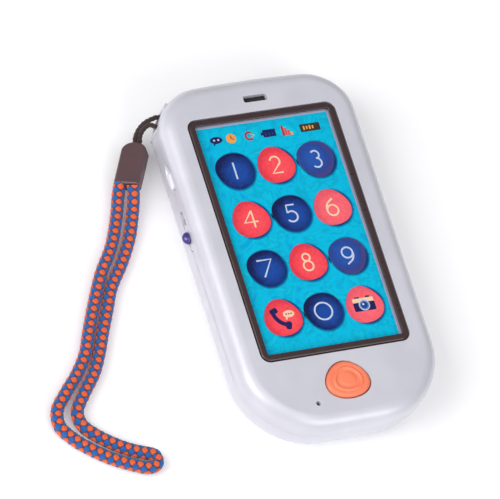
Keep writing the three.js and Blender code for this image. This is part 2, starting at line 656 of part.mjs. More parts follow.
CASE_SCREWS.forEach(([x, y], i) => {
  add(`case_screw_${i + 1}`, screw(x, y, 2.3, 2.2, SCREW_SEAT - GAP, 1, 16.6), STEEL);
});
BOARD_SCREWS.forEach(([x, y], i) => {
  add(`board_screw_${i + 1}`, join(rod(x, y, 2, ON_BOARD, ON_BOARD + 1.1), rod(x, y, 1, 7, 15)), STEEL);
});

const [barX, barY] = anchorBarPlace();
add('strap_bar', rod(barX, barY, ANCHOR.barRadius, 6.6, 15.1, 14), STEEL);
add('tie_cord', tube(TIE_ROUTE, TIE_DIAMETER, 40), TIE_CORD);
add('strap_clamp', strapClamp(), PLUM);
add('wrist_cord', tube(BRAID_ROUTE, BRAID_DIAMETER, 78), BRAID);

export default phone;
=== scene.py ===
"""Looks of a toy cell phone: case, printed touch screen, controls, battery bay and braided wrist strap.

Every piece is shaped in millimetres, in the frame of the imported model, and brought to metres when it is
finished. The phone lies on its back: X across its width, +Y towards the earpiece slot, +Z out of the screen.
"""
import json
import logging
import math
from collections.abc import Callable, Sequence
from dataclasses import dataclass, field
from enum import Enum
from functools import cached_property
from typing import Protocol

import bmesh
import bpy
from mathutils import Matrix, Vector


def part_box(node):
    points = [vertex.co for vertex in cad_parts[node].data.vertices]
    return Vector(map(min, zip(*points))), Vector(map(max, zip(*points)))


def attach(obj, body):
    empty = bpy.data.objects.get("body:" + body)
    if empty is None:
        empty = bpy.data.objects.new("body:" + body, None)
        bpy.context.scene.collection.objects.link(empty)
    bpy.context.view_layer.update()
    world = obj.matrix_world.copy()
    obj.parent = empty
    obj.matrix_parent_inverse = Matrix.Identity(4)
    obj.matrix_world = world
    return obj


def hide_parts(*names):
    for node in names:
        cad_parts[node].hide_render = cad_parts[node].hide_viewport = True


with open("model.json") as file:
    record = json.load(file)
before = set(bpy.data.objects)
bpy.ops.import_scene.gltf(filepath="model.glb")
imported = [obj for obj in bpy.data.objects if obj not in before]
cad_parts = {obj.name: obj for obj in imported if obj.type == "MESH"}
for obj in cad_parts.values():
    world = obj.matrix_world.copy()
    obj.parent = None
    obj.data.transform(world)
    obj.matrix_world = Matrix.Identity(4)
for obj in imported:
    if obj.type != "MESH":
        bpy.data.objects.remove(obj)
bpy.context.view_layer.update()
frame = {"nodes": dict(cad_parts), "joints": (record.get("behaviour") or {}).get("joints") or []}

LOG = logging.getLogger("toy_phone")
MM = 0.001
GAP = 0.3

Point = tuple[float, float, float]
Spot = tuple[float, float]
Colour = tuple[float, float, float, float]
Material = bpy.types.Material
Socket = bpy.types.NodeSocket


class Body(Enum):
    """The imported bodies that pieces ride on."""

    CASE = "case"
    HOME = "home_key"
    ROCKER = "rocker"
    SLIDER = "slider"
    DOOR = "door"


class Pick(Enum):
    """What an edit-mode selection is made of."""

    VERT = "VERT"
    EDGE = "EDGE"
    FACE = "FACE"


class Axis(Enum):
    """The direction that a rod is built along, as the turn that brings it there."""

    X = (0.0, math.pi / 2, 0.0)
    Y = (math.pi / 2, 0.0, 0.0)
    Z = (0.0, 0.0, 0.0)


def box_mm(node: str) -> tuple[Vector, Vector]:
    """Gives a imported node's lowest and highest corners in millimetres.

    Args:
        node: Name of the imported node.

    Returns:
        The two corners.
    """
    low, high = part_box(node)
    return low / MM, high / MM


def hue(code: str) -> Colour:
    """Turns a screen colour into a linear one.

    Args:
        code: Six hexadecimal digits.

    Returns:
        Linear red, green, blue and a full alpha.
    """
    parts = [int(code[i:i + 2], 16) / 255 for i in (0, 2, 4)]
    linear = [p / 12.92 if p <= 0.04045 else ((p + 0.055) / 1.055) ** 2.4 for p in parts]
    return (*linear, 1.0)


# ---------------------------------------------------------------- finishes


class Recipe:
    """A node material while it is mixed."""

    def __init__(self, name: str, colour: Colour, roughness: float, **sockets: float | Colour) -> None:
        """Starts from a plain shader.

        Args:
            name: Name of the material.
            colour: Its plain colour.
            roughness: Its plain roughness.
            **sockets: More shader sockets, with _ for a space.
        """
        self.material = bpy.data.materials.new(name)
        self.material.use_nodes = True
        self.tree = self.material.node_tree
        self.shader = self.tree.nodes["Principled BSDF"]
        self.shader.inputs["Base Color"].default_value = colour
        self.shader.inputs["Roughness"].default_value = roughness
        for key, value in sockets.items():
            self.shader.inputs[key.replace("_", " ")].default_value = value

    @cached_property
    def place(self) -> Socket:
        """The point of the surface, in metres."""
        return self.node("ShaderNodeTexCoord").outputs["Object"]

    @cached_property
    def chart(self) -> Socket:
        """The piece's own chart."""
        return self.node("ShaderNodeTexCoord").outputs["UV"]

    def node(self, kind: str, links: dict[str | int, object] | None = None,
             **settings: object) -> bpy.types.Node:
        """Adds a node.

        Args:
            kind: Blender's name of the node type.
            links: For each input, a socket to link or a value to set.
            **settings: Attributes of the node.

        Returns:
            The new node.
        """
        added = self.tree.nodes.new(kind)
        for key, value in settings.items():
            setattr(added, key, value)
        for key, value in (links or {}).items():
            if isinstance(value, Socket):
                self.tree.links.new(value, added.inputs[key])
            else:
                added.inputs[key].default_value = value
        return added

    def noise(self, size: float, detail: float = 2.0, twist: float = 0.0) -> Socket:
        """Adds a noise whose grain has a size in millimetres.

        Args:
            size: Grain size.
            detail: Octaves.
            twist: Distortion.

        Returns:
            The noise value.
        """
        links = {"Vector": self.place, "Scale": 1 / (size * MM), "Detail": detail, "Distortion": twist}
        return self.node("ShaderNodeTexNoise", links).outputs["Fac"]

    def ramp(self, factor: Socket, stops: Sequence[tuple[float, Colour]]) -> Socket:
        """Adds a colour ramp.

        Args:
            factor: What drives it.
            stops: Positions and colours.

        Returns:
            The colour.
        """
        added = self.node("ShaderNodeValToRGB", {"Fac": factor})
        band = added.color_ramp
        while len(band.elements) < len(stops):
            band.elements.new(0.5)
        for element, (position, colour) in zip(band.elements, stops):
            element.position = position
            element.color = colour
        return added.outputs["Color"]

    def grade(self, factor: Socket, low: float, high: float, start: float = 0.35,
              end: float = 0.65) -> Socket:
        """Spreads a value between two numbers.

        Args:
            factor: The value.
            low: Result at the start.
            high: Result at the end.
            start: Value that gives the low result.
            end: Value that gives the high result.

        Returns:
            The graded value.
        """
        links = {"Value": factor, "From Min": start, "From Max": end, "To Min": low, "To Max": high}
        return self.node("ShaderNodeMapRange", links).outputs["Result"]

    def blend(self, factor: object, first: object, second: object, mode: str = "MIX") -> Socket:
        """Mixes two colours.

        Args:
            factor: Share of the second colour.
            first: First colour.
            second: Second colour.
            mode: Way of mixing.

        Returns:
            The mixed colour.
        """
        links = {0: factor, 6: first, 7: second}
        return self.node("ShaderNodeMix", links, data_type="RGBA", blend_type=mode).outputs[2]

    def sum(self, operation: str, *values: object) -> Socket:
        """Adds a math node.

        Args:
            operation: Blender's name of the operation.
            *values: Sockets or numbers.

        Returns:
            The result.
        """
        return self.node("ShaderNodeMath", dict(enumerate(values)), operation=operation).outputs[0]

    def waves(self, value: object, turns: float) -> Socket:
        """Turns a value into the sine of so many radians for each unit."""
        return self.sum("SINE", self.sum("MULTIPLY", value, turns))

    def split(self, vector: Socket) -> bpy.types.NodeOutputs:
        """Parts a vector into its three numbers."""
        return self.node("ShaderNodeSeparateXYZ", {0: vector}).outputs

    def reach(self, lean: Point = (0.0, 0.0, 0.0)) -> Socket:
        """Measures how far the chart is from a point of its own."""
        shifted = self.node("ShaderNodeVectorMath", {0: self.chart, 1: lean}, operation="SUBTRACT").outputs[0]
        return self.node("ShaderNodeVectorMath", {0: shifted}, operation="LENGTH").outputs["Value"]

    def mottle(self, size: float, dark: str, detail: float = 4.0) -> Socket:
        """Adds a pale mottle to multiply a colour by."""
        return self.ramp(self.noise(size, detail), [(0.3, hue(dark)), (0.7, hue("FFFFFF"))])

    def feed(self, name: str, value: Socket) -> None:
        """Links a value into the shader."""
        self.tree.links.new(value, self.shader.inputs[name])

    def bump(self, height: Socket, depth: float, strength: float = 1.0) -> None:
        """Adds surface relief of a depth in millimetres."""
        links = {"Height": height, "Distance": depth * MM, "Strength": strength}
        self.feed("Normal", self.node("ShaderNodeBump", links).outputs["Normal"])


@dataclass(frozen=True)
class MouldedPlastic:
    """Injection-moulded plastic: a fine mould grain, slight clouding and handling scuffs."""

    name: str
    colour: str
    roughness: float = 0.4
    coat: float = 0.0
    grain: float = 0.25
    relief: float = 0.012
    clouding: float = 0.06

    def material(self) -> Material:
        """Mixes the material."""
        base = hue(self.colour)
        mix = Recipe(self.name, base, self.roughness, Coat_Weight=self.coat, Coat_Roughness=0.08)
        dark = tuple(c * (1 - self.clouding * 2) for c in base[:3]) + (1.0,)
        light = tuple(min(1.0, c * (1 + self.clouding)) for c in base[:3]) + (1.0,)
        mix.feed("Base Color", mix.ramp(mix.noise(6.0, 4.0), [(0.3, dark), (0.7, light)]))
        scuff = mix.noise(2.2, 6.0, 0.8)
        mix.feed("Roughness", mix.grade(scuff, self.roughness * 0.85, self.roughness * 1.2))
        mix.bump(mix.noise(self.grain, 3.0), self.relief)
        return mix.material


@dataclass(frozen=True)
class PearlPaint:
    """Satin pearl paint: fine bright flakes under a thin clear coat."""

    name: str = "pearl_paint"
    shadow: str = "C6C6D0"
    light: str = "D3D3DC"
    flake: float = 0.09

    def material(self) -> Material:
        """Mixes the material."""
        mix = Recipe(self.name, hue(self.light), 0.36, Metallic=0.12, Coat_Weight=0.3, Coat_Roughness=0.18)
        body = mix.ramp(mix.noise(18.0, 3.0), [(0.3, hue(self.shadow)), (0.7, hue(self.light))])
        flakes = mix.node("ShaderNodeTexVoronoi", {"Vector": mix.place, "Scale": 1 / (self.flake * MM)})
        sparkle = mix.grade(flakes.outputs["Distance"], 0.0, 0.22, 0.1, 0.7)
        mix.feed("Base Color", mix.blend(sparkle, body, hue("E6E4EE")))
        mix.feed("Roughness", mix.grade(mix.noise(3.0, 5.0, 0.5), 0.32, 0.42))
        mix.bump(mix.noise(0.35, 2.0), 0.004)
        return mix.material


@dataclass(frozen=True)
class PlatedSteel:
    """Bright plated steel with fine drawn lines."""

    name: str
    colour: str = "C9CCD0"
    roughness: float = 0.28

    def material(self) -> Material:
        """Mixes the material."""
        mix = Recipe(self.name, hue(self.colour), self.roughness, Metallic=1.0)
        tarnish = mix.ramp(mix.noise(1.6, 5.0), [(0.35, hue(self.colour)), (0.75, hue("9C9A96"))])
        mix.feed("Base Color", tarnish)
        mix.feed("Roughness", mix.grade(mix.noise(0.5, 4.0), self.roughness * 0.7, self.roughness * 1.5))
        mix.bump(mix.noise(0.12, 2.0), 0.006)
        return mix.material


def watercolour(mix: Recipe) -> Socket:
    """Adds the screen's washed cyan: pools of deeper and paler pigment with hard drying edges.

    Args:
        mix: The material that gets it.

    Returns:
        The colour.
    """
    pool = mix.noise(9.0, 5.0, 1.6)
    wash = mix.ramp(pool, [
        (0.30, hue("00A2D2")), (0.44, hue("00BCDE")), (0.52, hue("00B6D8")), (0.56, hue("04A6CC")),
        (0.60, hue("02BCDA")), (0.76, hue("10C4D8")),
    ])
    dried = [(0.46, hue("FFFFFF")), (0.5, hue("D6EEF4")), (0.54, hue("FFFFFF"))]
    edge = mix.ramp(mix.noise(3.5, 3.0, 2.2), dried)
    return mix.blend(0.6, wash, edge, "MULTIPLY")


@dataclass(frozen=True)
class PrintedWash:
    """The sheet's printed watercolour ground, with a pale unprinted margin round the sight hole.

    Attributes:
        half_width: Half the printed width.
        bottom: Lower edge of the print.
        top: Upper edge of the print.
        name: Name of the material.
    """

    half_width: float
    bottom: float
    top: float
    name: str = "printed_wash"

    def material(self) -> Material:
        """Mixes the material."""
        mix = Recipe(self.name, hue("00AFD2"), 0.5, Specular_IOR_Level=0.12)
        across, along, _ = mix.split(mix.place)
        beside = mix.sum("GREATER_THAN", mix.sum("ABSOLUTE", across), self.half_width * MM)
        above = mix.sum("GREATER_THAN", along, self.top * MM)
        below = mix.sum("LESS_THAN", along, self.bottom * MM)
        margin = mix.sum("MAXIMUM", beside, mix.sum("MAXIMUM", above, below))
        mix.feed("Base Color", mix.blend(margin, watercolour(mix), hue("B4B0C8")))
        mix.feed("Roughness", mix.grade(mix.noise(0.6), 0.44, 0.56))
        mix.bump(mix.noise(0.2), 0.003)
        return mix.material


@dataclass(frozen=True)
class PrintedShadow:
    """A key's printed soft shadow, fading into the washed ground; the chart runs from 0 to 1 outwards."""

    name: str = "printed_shadow"
    core: float = 0.86

    def material(self) -> Material:
        """Mixes the material."""
        mix = Recipe(self.name, hue("00AFD2"), 0.5, Specular_IOR_Level=0.12)
        stops = [(self.core, hue("23588C")), (0.93, hue("7FB4CE")), (0.995, hue("FFFFFF"))]
        depth = mix.ramp(mix.reach(), stops)
        mix.feed("Base Color", mix.blend(1.0, watercolour(mix), depth, "MULTIPLY"))
        return mix.material


@dataclass(frozen=True)
class KeyInk:
    """Printed ink of a pebble key, deeper towards its rim; the chart runs from 0 to 1 outwards."""

    name: str
    middle: str
    rim: str
    edge: str
    lean: Point = (0.16, -0.12, 0.0)

    def material(self) -> Material:
        """Mixes the material."""
        mix = Recipe(self.name, hue(self.middle), 0.45, Specular_IOR_Level=0.15)
        wobble = mix.sum("ADD", mix.reach(self.lean), mix.grade(mix.noise(2.4, 4.0, 0.8), -0.08, 0.08))
        ink = mix.ramp(wobble, [(0.35, hue(self.middle)), (0.78, hue(self.rim)), (1.0, hue(self.edge))])
        mix.feed("Base Color", mix.blend(0.7, ink, mix.mottle(1.1, "E4E4E8", 5.0), "MULTIPLY"))
        mix.feed("Roughness", mix.grade(mix.noise(0.5), 0.4, 0.52))
        return mix.material


@dataclass(frozen=True)
class FlatInk:
    """Plain printed ink with the slight mottle of a litho print."""

    name: str
    colour: str

    def material(self) -> Material:
        """Mixes the material."""
        mix = Recipe(self.name, hue(self.colour), 0.45, Specular_IOR_Level=0.15)
        mix.feed("Base Color", mix.blend(0.8, hue(self.colour), mix.mottle(0.7, "DCDCDC"), "MULTIPLY"))
        return mix.material


@dataclass(frozen=True)
class ClearAcrylic:
    """A clear glossy sheet: what is behind it shows, under a faint reflection."""

    name: str = "clear_acrylic"
    blend: float = 0.1

    def material(self) -> Material:
        """Mixes the material."""
        mix = Recipe(self.name, hue("FFFFFF"), 0.06, Metallic=1.0)
        mix.feed("Roughness", mix.grade(mix.noise(4.0, 4.0), 0.04, 0.1))
        clear = mix.node("ShaderNodeBsdfTransparent").outputs["BSDF"]
        front = mix.sum("SUBTRACT", 1.0, mix.node("ShaderNodeNewGeometry").outputs["Backfacing"])
        sheen = mix.node("ShaderNodeLayerWeight", {"Blend": self.blend}).outputs["Fresnel"]
        gloss = mix.sum("MULTIPLY", sheen, front)
        shine = mix.node("ShaderNodeMixShader", {0: gloss, 1: clear, 2: mix.shader.outputs["BSDF"]})
        out = mix.tree.nodes["Material Output"]
        mix.tree.links.new(shine.outputs["Shader"], out.inputs["Surface"])
        return mix.material


@dataclass(frozen=True)
class BraidedYarn:
    """Two-colour braid: the chart's whole numbers part the strands, and each strand shows its yarns, with
    painted shade between the yarns and in the crevices between strands.
    """

    name: str = "braided_yarn"
    warm: str = "FF6A30"
    cool: str = "0668B8"
    yarns: float = 5.0

    def material(self) -> Material:
        """Mixes the material."""
        mix = Recipe(self.name, hue(self.warm), 0.78, Sheen_Weight=0.25, Sheen_Roughness=0.5)
        links = {"Vector": mix.chart, "Color1": hue(self.warm), "Color2": hue(self.cool), "Scale": 1.0}
        strands = mix.node("ShaderNodeTexChecker", links)
        first, second, _ = mix.split(mix.chart)
        even, odd = (mix.waves(turn, self.yarns * 2 * math.pi) for turn in (first, second))
        thread = mix.node("ShaderNodeMix", {0: strands.outputs["Fac"], 2: even, 3: odd}).outputs[0]
        fuzz = mix.noise(0.18, 4.0)
        # Painted shade: darker where the yarn relief is low, mixed with random fuzz tone.
        yarn_shade_and_fuzz = mix.sum("MULTIPLY_ADD", thread, 0.25, fuzz)
        shade = mix.ramp(yarn_shade_and_fuzz, [(0.2, hue("B4B4BC")), (0.75, hue("FFFFFF"))])
        # Painted shade: much darker in the crevices where the strands meet.
        pads = [mix.sum("ABSOLUTE", mix.waves(turn, math.pi)) for turn in (first, second)]
        crevice_shade_stops = [(0.0, hue("3A2A3C")), (0.16, hue("C8C0CC")), (0.34, hue("FFFFFF"))]
        crevice_painted_shade = mix.ramp(mix.sum("MULTIPLY", *pads), crevice_shade_stops)
        body = mix.blend(0.75, strands.outputs["Color"], shade, "MULTIPLY")
        mix.feed("Base Color", mix.blend(0.9, body, crevice_painted_shade, "MULTIPLY"))
        mix.feed("Roughness", mix.grade(fuzz, 0.7, 0.88))
        mix.bump(mix.sum("MULTIPLY_ADD", thread, 0.35, fuzz), 0.09)
        return mix.material


@dataclass(frozen=True)
class TwistedYarn:
    """A dark twisted cord: fibres run along the plies of the chart."""

    name: str = "twisted_yarn"
    colour: str = "231513"
    light: str = "44302D"

    def material(self) -> Material:
        """Mixes the material."""
        mix = Recipe(self.name, hue(self.colour), 0.85, Sheen_Weight=0.3, Sheen_Roughness=0.5)
        links = {"Vector": mix.chart, "Scale": 9.0, "Detail": 5.0, "Distortion": 0.4}
        fibre = mix.node("ShaderNodeTexNoise", links).outputs["Fac"]
        mix.feed("Base Color", mix.ramp(fibre, [(0.3, hue(self.colour)), (0.75, hue(self.light))]))
        mix.feed("Roughness", mix.grade(fibre, 0.75, 0.95))
        mix.bump(fibre, 0.07)
        return mix.material


@dataclass(frozen=True)
class CircuitLaminate:
    """Green solder mask with copper tracks under it and white legend dots."""

    name: str = "circuit_laminate"

    def material(self) -> Material:
        """Mixes the material."""
        mix = Recipe(self.name, hue("1F6B3A"), 0.38, Coat_Weight=0.3)
        links = {
            "Vector": mix.place, "Scale": 260.0, "Color1": hue("1B6436"), "Color2": hue("226F3F"),
            "Mortar": hue("3C9A55"), "Mortar Size": 0.06, "Brick Width": 1.7, "Row Height": 0.6,
        }
        tracks = mix.node("ShaderNodeTexBrick", links)
        bare = mix.grade(mix.noise(5.0), 0.0, 0.35)
        mix.feed("Base Color", mix.blend(bare, tracks.outputs["Color"], hue("185A30")))
        mix.feed("Roughness", mix.grade(mix.noise(1.5, 4.0), 0.3, 0.5))
        mix.bump(tracks.outputs["Fac"], 0.03)
        return mix.material


@dataclass(frozen=True)
class CellWrap:
    """A shrink-wrapped cell label: a blue field and a silver band, by the distance along the cell."""

    name: str
    foot: float
    top: float

    def material(self) -> Material:
        """Mixes the material."""
        mix = Recipe(self.name, hue("2F6F9F"), 0.3, Coat_Weight=0.5, Coat_Roughness=0.1)
        share = mix.grade(mix.split(mix.place)["Y"], 0.0, 1.0, self.foot * MM, self.top * MM)
        label = mix.ramp(share, [(0.0, hue("27292E")), (0.3, hue("27292E")), (0.315, hue("C9CDD2")),
                                 (0.36, hue("C9CDD2")), (0.375, hue("1F6CB0")), (1.0, hue("2A7EC4"))])
        mix.feed("Base Color", mix.blend(1.0, label, mix.mottle(0.9, "E6E6E6"), "MULTIPLY"))
        mix.bump(mix.noise(2.5, 3.0), 0.03)
        return mix.material


@dataclass(frozen=True)
class WovenCloth:
    """Fine dark cloth or pressed paper, by a small woven relief; the colour is lighter on the weave's crests,
    a painted highlight mixed with random tone.
    """

    name: str
    colour: str
    pitch: float = 0.5

    def material(self) -> Material:
        """Mixes the material."""
        mix = Recipe(self.name, hue(self.colour), 0.9, Sheen_Weight=0.2)
        across, along, _ = mix.split(mix.place)
        turns = 2 * math.pi / (self.pitch * MM)
        weave = mix.sum("MULTIPLY", mix.waves(across, turns), mix.waves(along, turns))
        base = hue(self.colour)
        # Painted highlight on the weave's crests, with painted shade in its grooves, mixed with random tone.
        light = tuple(min(1.0, c * 2 + 0.01) for c in base[:3]) + (1.0,)
        height = mix.sum("MULTIPLY_ADD", weave, 0.3, mix.noise(0.4))
        mix.feed("Base Color", mix.ramp(height, [(0.2, base), (0.9, light)]))
        mix.bump(weave, 0.05)
        return mix.material


class Mixes(Protocol):
    """Anything that can mix a material."""

    def material(self) -> Material:
        """Mixes the material."""


def mixed(finish: Mixes) -> Material:
    """Makes a field that mixes its finish when the set is made."""
    return field(default_factory=finish.material)


@dataclass
class Finishes:
    """Every finish of the phone, mixed once."""

    pearl: Material = mixed(PearlPaint())
    # Dark plastic put on the walls of the slider's slot and the strap's pocket: painted shade.
    inside: Material = mixed(MouldedPlastic("opening_painted_shade", "2A2426", 0.7))
    bezel: Material = mixed(MouldedPlastic("bezel_brown", "3C282A", 0.32, 0.25, 0.5, 0.001, 0.03))
    orange: Material = mixed(MouldedPlastic("button_orange", "FF8560", 0.42, 0.15, 0.3, 0.006, 0.04))
    white: Material = mixed(MouldedPlastic("rocker_white", "F0EEF4", 0.32, 0.3, 0.3, 0.006, 0.03))
    navy: Material = mixed(MouldedPlastic("knob_navy", "372D82", 0.2, 0.8, 0.4, 0.003, 0.08))
    clamp: Material = mixed(MouldedPlastic("clamp_plum", "584044", 0.4, 0.15, 0.3, 0.006, 0.05))
    black: Material = mixed(MouldedPlastic("switch_black", "1C1C1F", 0.5))
    epoxy: Material = mixed(MouldedPlastic("epoxy_black", "121215", 0.3, 0.4, 1.2, 0.04))
    milky: Material = mixed(MouldedPlastic("milky_white", "F2F2EE", 0.55))
    led: Material = mixed(MouldedPlastic("led_white", "FFF6D0", 0.2, 0.6))
    red_wire: Material = mixed(MouldedPlastic("wire_red", "C02020", 0.5))
    black_wire: Material = mixed(MouldedPlastic("wire_black", "161618", 0.5))
    steel: Material = mixed(PlatedSteel("plated_steel"))
    shadow: Material = mixed(PrintedShadow())
    acrylic: Material = mixed(ClearAcrylic())
    film: Material = mixed(ClearAcrylic("clear_film", 0.2))
    board: Material = mixed(CircuitLaminate())
    cloth: Material = mixed(WovenCloth("baffle_cloth", "221D1E", 0.4))
    paper: Material = mixed(WovenCloth("speaker_paper", "2C2B2A", 0.8))
    braid: Material = mixed(BraidedYarn())
    tie: Material = mixed(TwistedYarn())
    navy_ink: Material = mixed(KeyInk("ink_navy", "1C4CA2", "18367E", "141E52"))
    # Lighter, greyer copies of the navy and coral inks for the right column: painted window reflection.
    dusk_ink: Material = mixed(KeyInk("ink_navy_painted_glare", "2858AE", "2A4896", "4A4480", (-0.1, 0.08, 0.0)))
    coral_ink: Material = mixed(KeyInk("ink_coral", "FF5560", "FA4A55", "E63E50"))
    rose_ink: Material = mixed(KeyInk("ink_coral_painted_glare", "FF6C76", "FB6672", "EE5C6C"))
    pale_ink: Material = mixed(FlatInk("ink_pale", "CBD8EE"))
    cream_ink: Material = mixed(FlatInk("ink_cream", "FFD8B4"))
    deep_ink: Material = mixed(FlatInk("ink_deep", "23235C"))
    amber_ink: Material = mixed(FlatInk("ink_amber", "F6A94C"))
    brick_ink: Material = mixed(FlatInk("ink_brick", "B8384C"))
    flame_ink: Material = mixed(FlatInk("ink_flame", "F0584A"))
    umber_ink: Material = mixed(FlatInk("ink_umber", "3A3A34"))
    sky_ink: Material = mixed(FlatInk("ink_sky", "5C8AC8"))


# ---------------------------------------------------------------- the bench


def clear_selection() -> None:
    """Leaves nothing selected, in object mode."""
    if bpy.context.object is not None and bpy.context.object.mode != "OBJECT":
        bpy.ops.object.mode_set(mode="OBJECT")
    bpy.ops.object.select_all(action="DESELECT")


class Piece:
    """A mesh on the bench, in millimetres until it is finished."""

    def __init__(self, obj: bpy.types.Object, name: str) -> None:
        """Takes an object over and names it."""
        self.obj = obj
        obj.name = name
        obj.data.name = name

    @classmethod
    def block(cls, name: str, low: Sequence[float], high: Sequence[float]) -> "Piece":
        """Starts from a cube between two corners."""
        clear_selection()
        low, high = Vector(low), Vector(high)
        bpy.ops.mesh.primitive_cube_add(size=1, location=(low + high) / 2)
        piece = cls(bpy.context.object, name)
        piece.obj.scale = high - low
        return piece.settle()

    @classmethod
    def rod(cls, name: str, middle: Sequence[float], radius: float, height: float, axis: Axis = Axis.Z,
            sides: int = 32) -> "Piece":
        """Starts from a cylinder about its middle."""
        clear_selection()
        bpy.ops.mesh.primitive_cylinder_add(
            vertices=sides, radius=radius, depth=height, location=middle, rotation=axis.value)
        return cls(bpy.context.object, name).settle()

    @classmethod
    def post(cls, name: str, x: float, y: float, radius: float, low: float, high: float,
             sides: int = 32) -> "Piece":
        """Starts from an upright cylinder between two heights."""
        return cls.rod(name, (x, y, (low + high) / 2), radius, high - low, Axis.Z, sides)

    @classmethod
    def ball(cls, name: str, middle: Sequence[float], radii: Sequence[float]) -> "Piece":
        """Starts from a sphere stretched to three radii."""
        clear_selection()
        bpy.ops.mesh.primitive_uv_sphere_add(segments=48, ring_count=24, radius=1, location=middle)
        piece = cls(bpy.context.object, name)
        piece.obj.scale = radii
        return piece.settle()

    @classmethod
    def slab(cls, name: str, middle: Sequence[float], width: float, length: float, corner: float, low: float,
             high: float, segments: int = 8) -> "Piece":
        """Starts from a plane, rounds its corners and raises it.

        Args:
            name: Name of the piece.
            middle: Middle of the plane in X and Y.
            width: Size along X.
            length: Size along Y.
            corner: Corner radius.
            low: Height of the bottom.
            high: Height of the top.
            segments: Segments of each corner.

        Returns:
            The piece.
        """
        clear_selection()
        bpy.ops.mesh.primitive_plane_add(size=1, location=(middle[0], middle[1], low))
        piece = cls(bpy.context.object, name)
        piece.obj.scale = (width, length, 1)
        piece.settle()
        with piece.editing():
            piece.pick(Pick.VERT, lambda v: True)
            bpy.ops.mesh.bevel(offset=corner, segments=segments, affect="VERTICES")
        return piece.raise_to(high - low)

    @classmethod
    def disc(cls, name: str, outline: Callable[[float], Spot], low: float, high: float,
             sides: int = 48) -> "Piece":
        """Starts from a circle, moves its corners onto an outline and raises it.

        Args:
            name: Name of the piece.
            outline: Gives X and Y for each turn in radians.
            low: Height of the bottom.
            high: Height of the top.
            sides: Corners of the circle.

        Returns:
            The piece.
        """
        clear_selection()
        bpy.ops.mesh.primitive_circle_add(vertices=sides, radius=1, fill_type="NGON", location=(0, 0, low))
        piece = cls(bpy.context.object, name).settle()
        with piece.editing():
            for corner in bmesh.from_edit_mesh(piece.obj.data).verts:
                corner.co.x, corner.co.y = outline(math.atan2(corner.co.y, corner.co.x))
        return piece.raise_to(high - low)

    def raise_to(self, height: float) -> "Piece":
        """Extrudes a flat start upwards and closes it."""
        with self.editing():
            bpy.ops.mesh.select_all(action="SELECT")
            bpy.ops.mesh.extrude_region_move(TRANSFORM_OT_translate={"value": (0, 0, height)})
            bpy.ops.mesh.select_all(action="SELECT")
            bpy.ops.mesh.normals_make_consistent(inside=False)
        return self

    def activate(self) -> None:
        """Makes this the only selected object and the active one."""
        clear_selection()
        self.obj.select_set(True)
        bpy.context.view_layer.objects.active = self.obj

    def settle(self) -> "Piece":
        """Moves the object's place, turn and size into its mesh."""
        self.activate()
        bpy.ops.object.transform_apply(location=True, rotation=True, scale=True)
        return self

    def editing(self) -> "Editing":
        """Opens edit mode for a while."""
        return Editing(self)

    def pick(self, kind: Pick, test: Callable[[object], bool]) -> int:
        """Selects what passes a test, in edit mode.

        Args:
            kind: Corners, edges or faces.
            test: The test.

        Returns:
            How many passed.
        """
        bpy.ops.mesh.select_mode(type=kind.value)
        bpy.ops.mesh.select_all(action="DESELECT")
        shape = bmesh.from_edit_mesh(self.obj.data)
        shape.normal_update()
        elements = {Pick.VERT: shape.verts, Pick.EDGE: shape.edges, Pick.FACE: shape.faces}[kind]
        found = [element for element in elements if test(element)]
        for element in found:
            element.select_set(True)
        shape.select_flush_mode()
        bmesh.update_edit_mesh(self.obj.data)
        return len(found)

    def round_edges(self, test: Callable[[object], bool], width: float, segments: int = 3) -> "Piece":
        """Bevels the edges that pass a test."""
        with self.editing():
            if self.pick(Pick.EDGE, test):
                bpy.ops.mesh.bevel(offset=width, segments=segments, affect="EDGES", clamp_overlap=True)
        return self

    def modify(self, kind: str, **settings: object) -> "Piece":
        """Adds a modifier and applies it."""
        modifier = self.obj.modifiers.new(kind.lower(), kind)
        for key, value in settings.items():
            setattr(modifier, key, value)
        self.activate()
        bpy.ops.object.modifier_apply(modifier=modifier.name)
        return self

    def boolean(self, operation: str, *tools: "Piece") -> "Piece":
        """Cuts, joins or intersects with tools, which are used up."""
        for tool in tools:
            self.modify("BOOLEAN", operation=operation, solver="EXACT", object=tool.obj)
            bpy.data.objects.remove(tool.obj)
        return self

    def cut(self, *tools: "Piece") -> "Piece":
        """Cuts tools out."""
        return self.boolean("DIFFERENCE", *tools)

    def fuse(self, *tools: "Piece") -> "Piece":
        """Joins tools into one skin."""
        return self.boolean("UNION", *tools)

    def gather(self, *others: "Piece") -> "Piece":
        """Takes other pieces into this one as they are."""
        if others:
            self.activate()
            for other in others:
                other.obj.select_set(True)
            bpy.ops.object.join()
        return self

    def copy(self, name: str) -> "Piece":
        """Makes a copy with its own mesh."""
        twin = self.obj.copy()
        twin.data = self.obj.data.copy()
        bpy.context.scene.collection.objects.link(twin)
        return Piece(twin, name)

    def set_by(self, matrix: Matrix) -> "Piece":
        """Turns and moves the mesh."""
        self.obj.matrix_world = matrix
        return self.settle()

    def dark(self) -> "Piece":
        """Marks the tool's faces with the second finish of what it cuts: on the shells, the dark opening
        finish, painted shade on the cut's walls.
        """
        for _ in range(2):
            self.obj.data.materials.append(None)
        for face in self.obj.data.polygons:
            face.material_index = 1
        return self

    def chart(self, middle: Sequence[float], radius: float) -> "Piece":
        """Gives the mesh a chart that runs from 0 at a middle to 1 at a radius."""
        layer = self.obj.data.uv_layers.active or self.obj.data.uv_layers.new(name="chart")
        for loop in self.obj.data.loops:
            spot = self.obj.data.vertices[loop.vertex_index].co
            layer.data[loop.index].uv = ((spot.x - middle[0]) / radius, (spot.y - middle[1]) / radius)
        return self

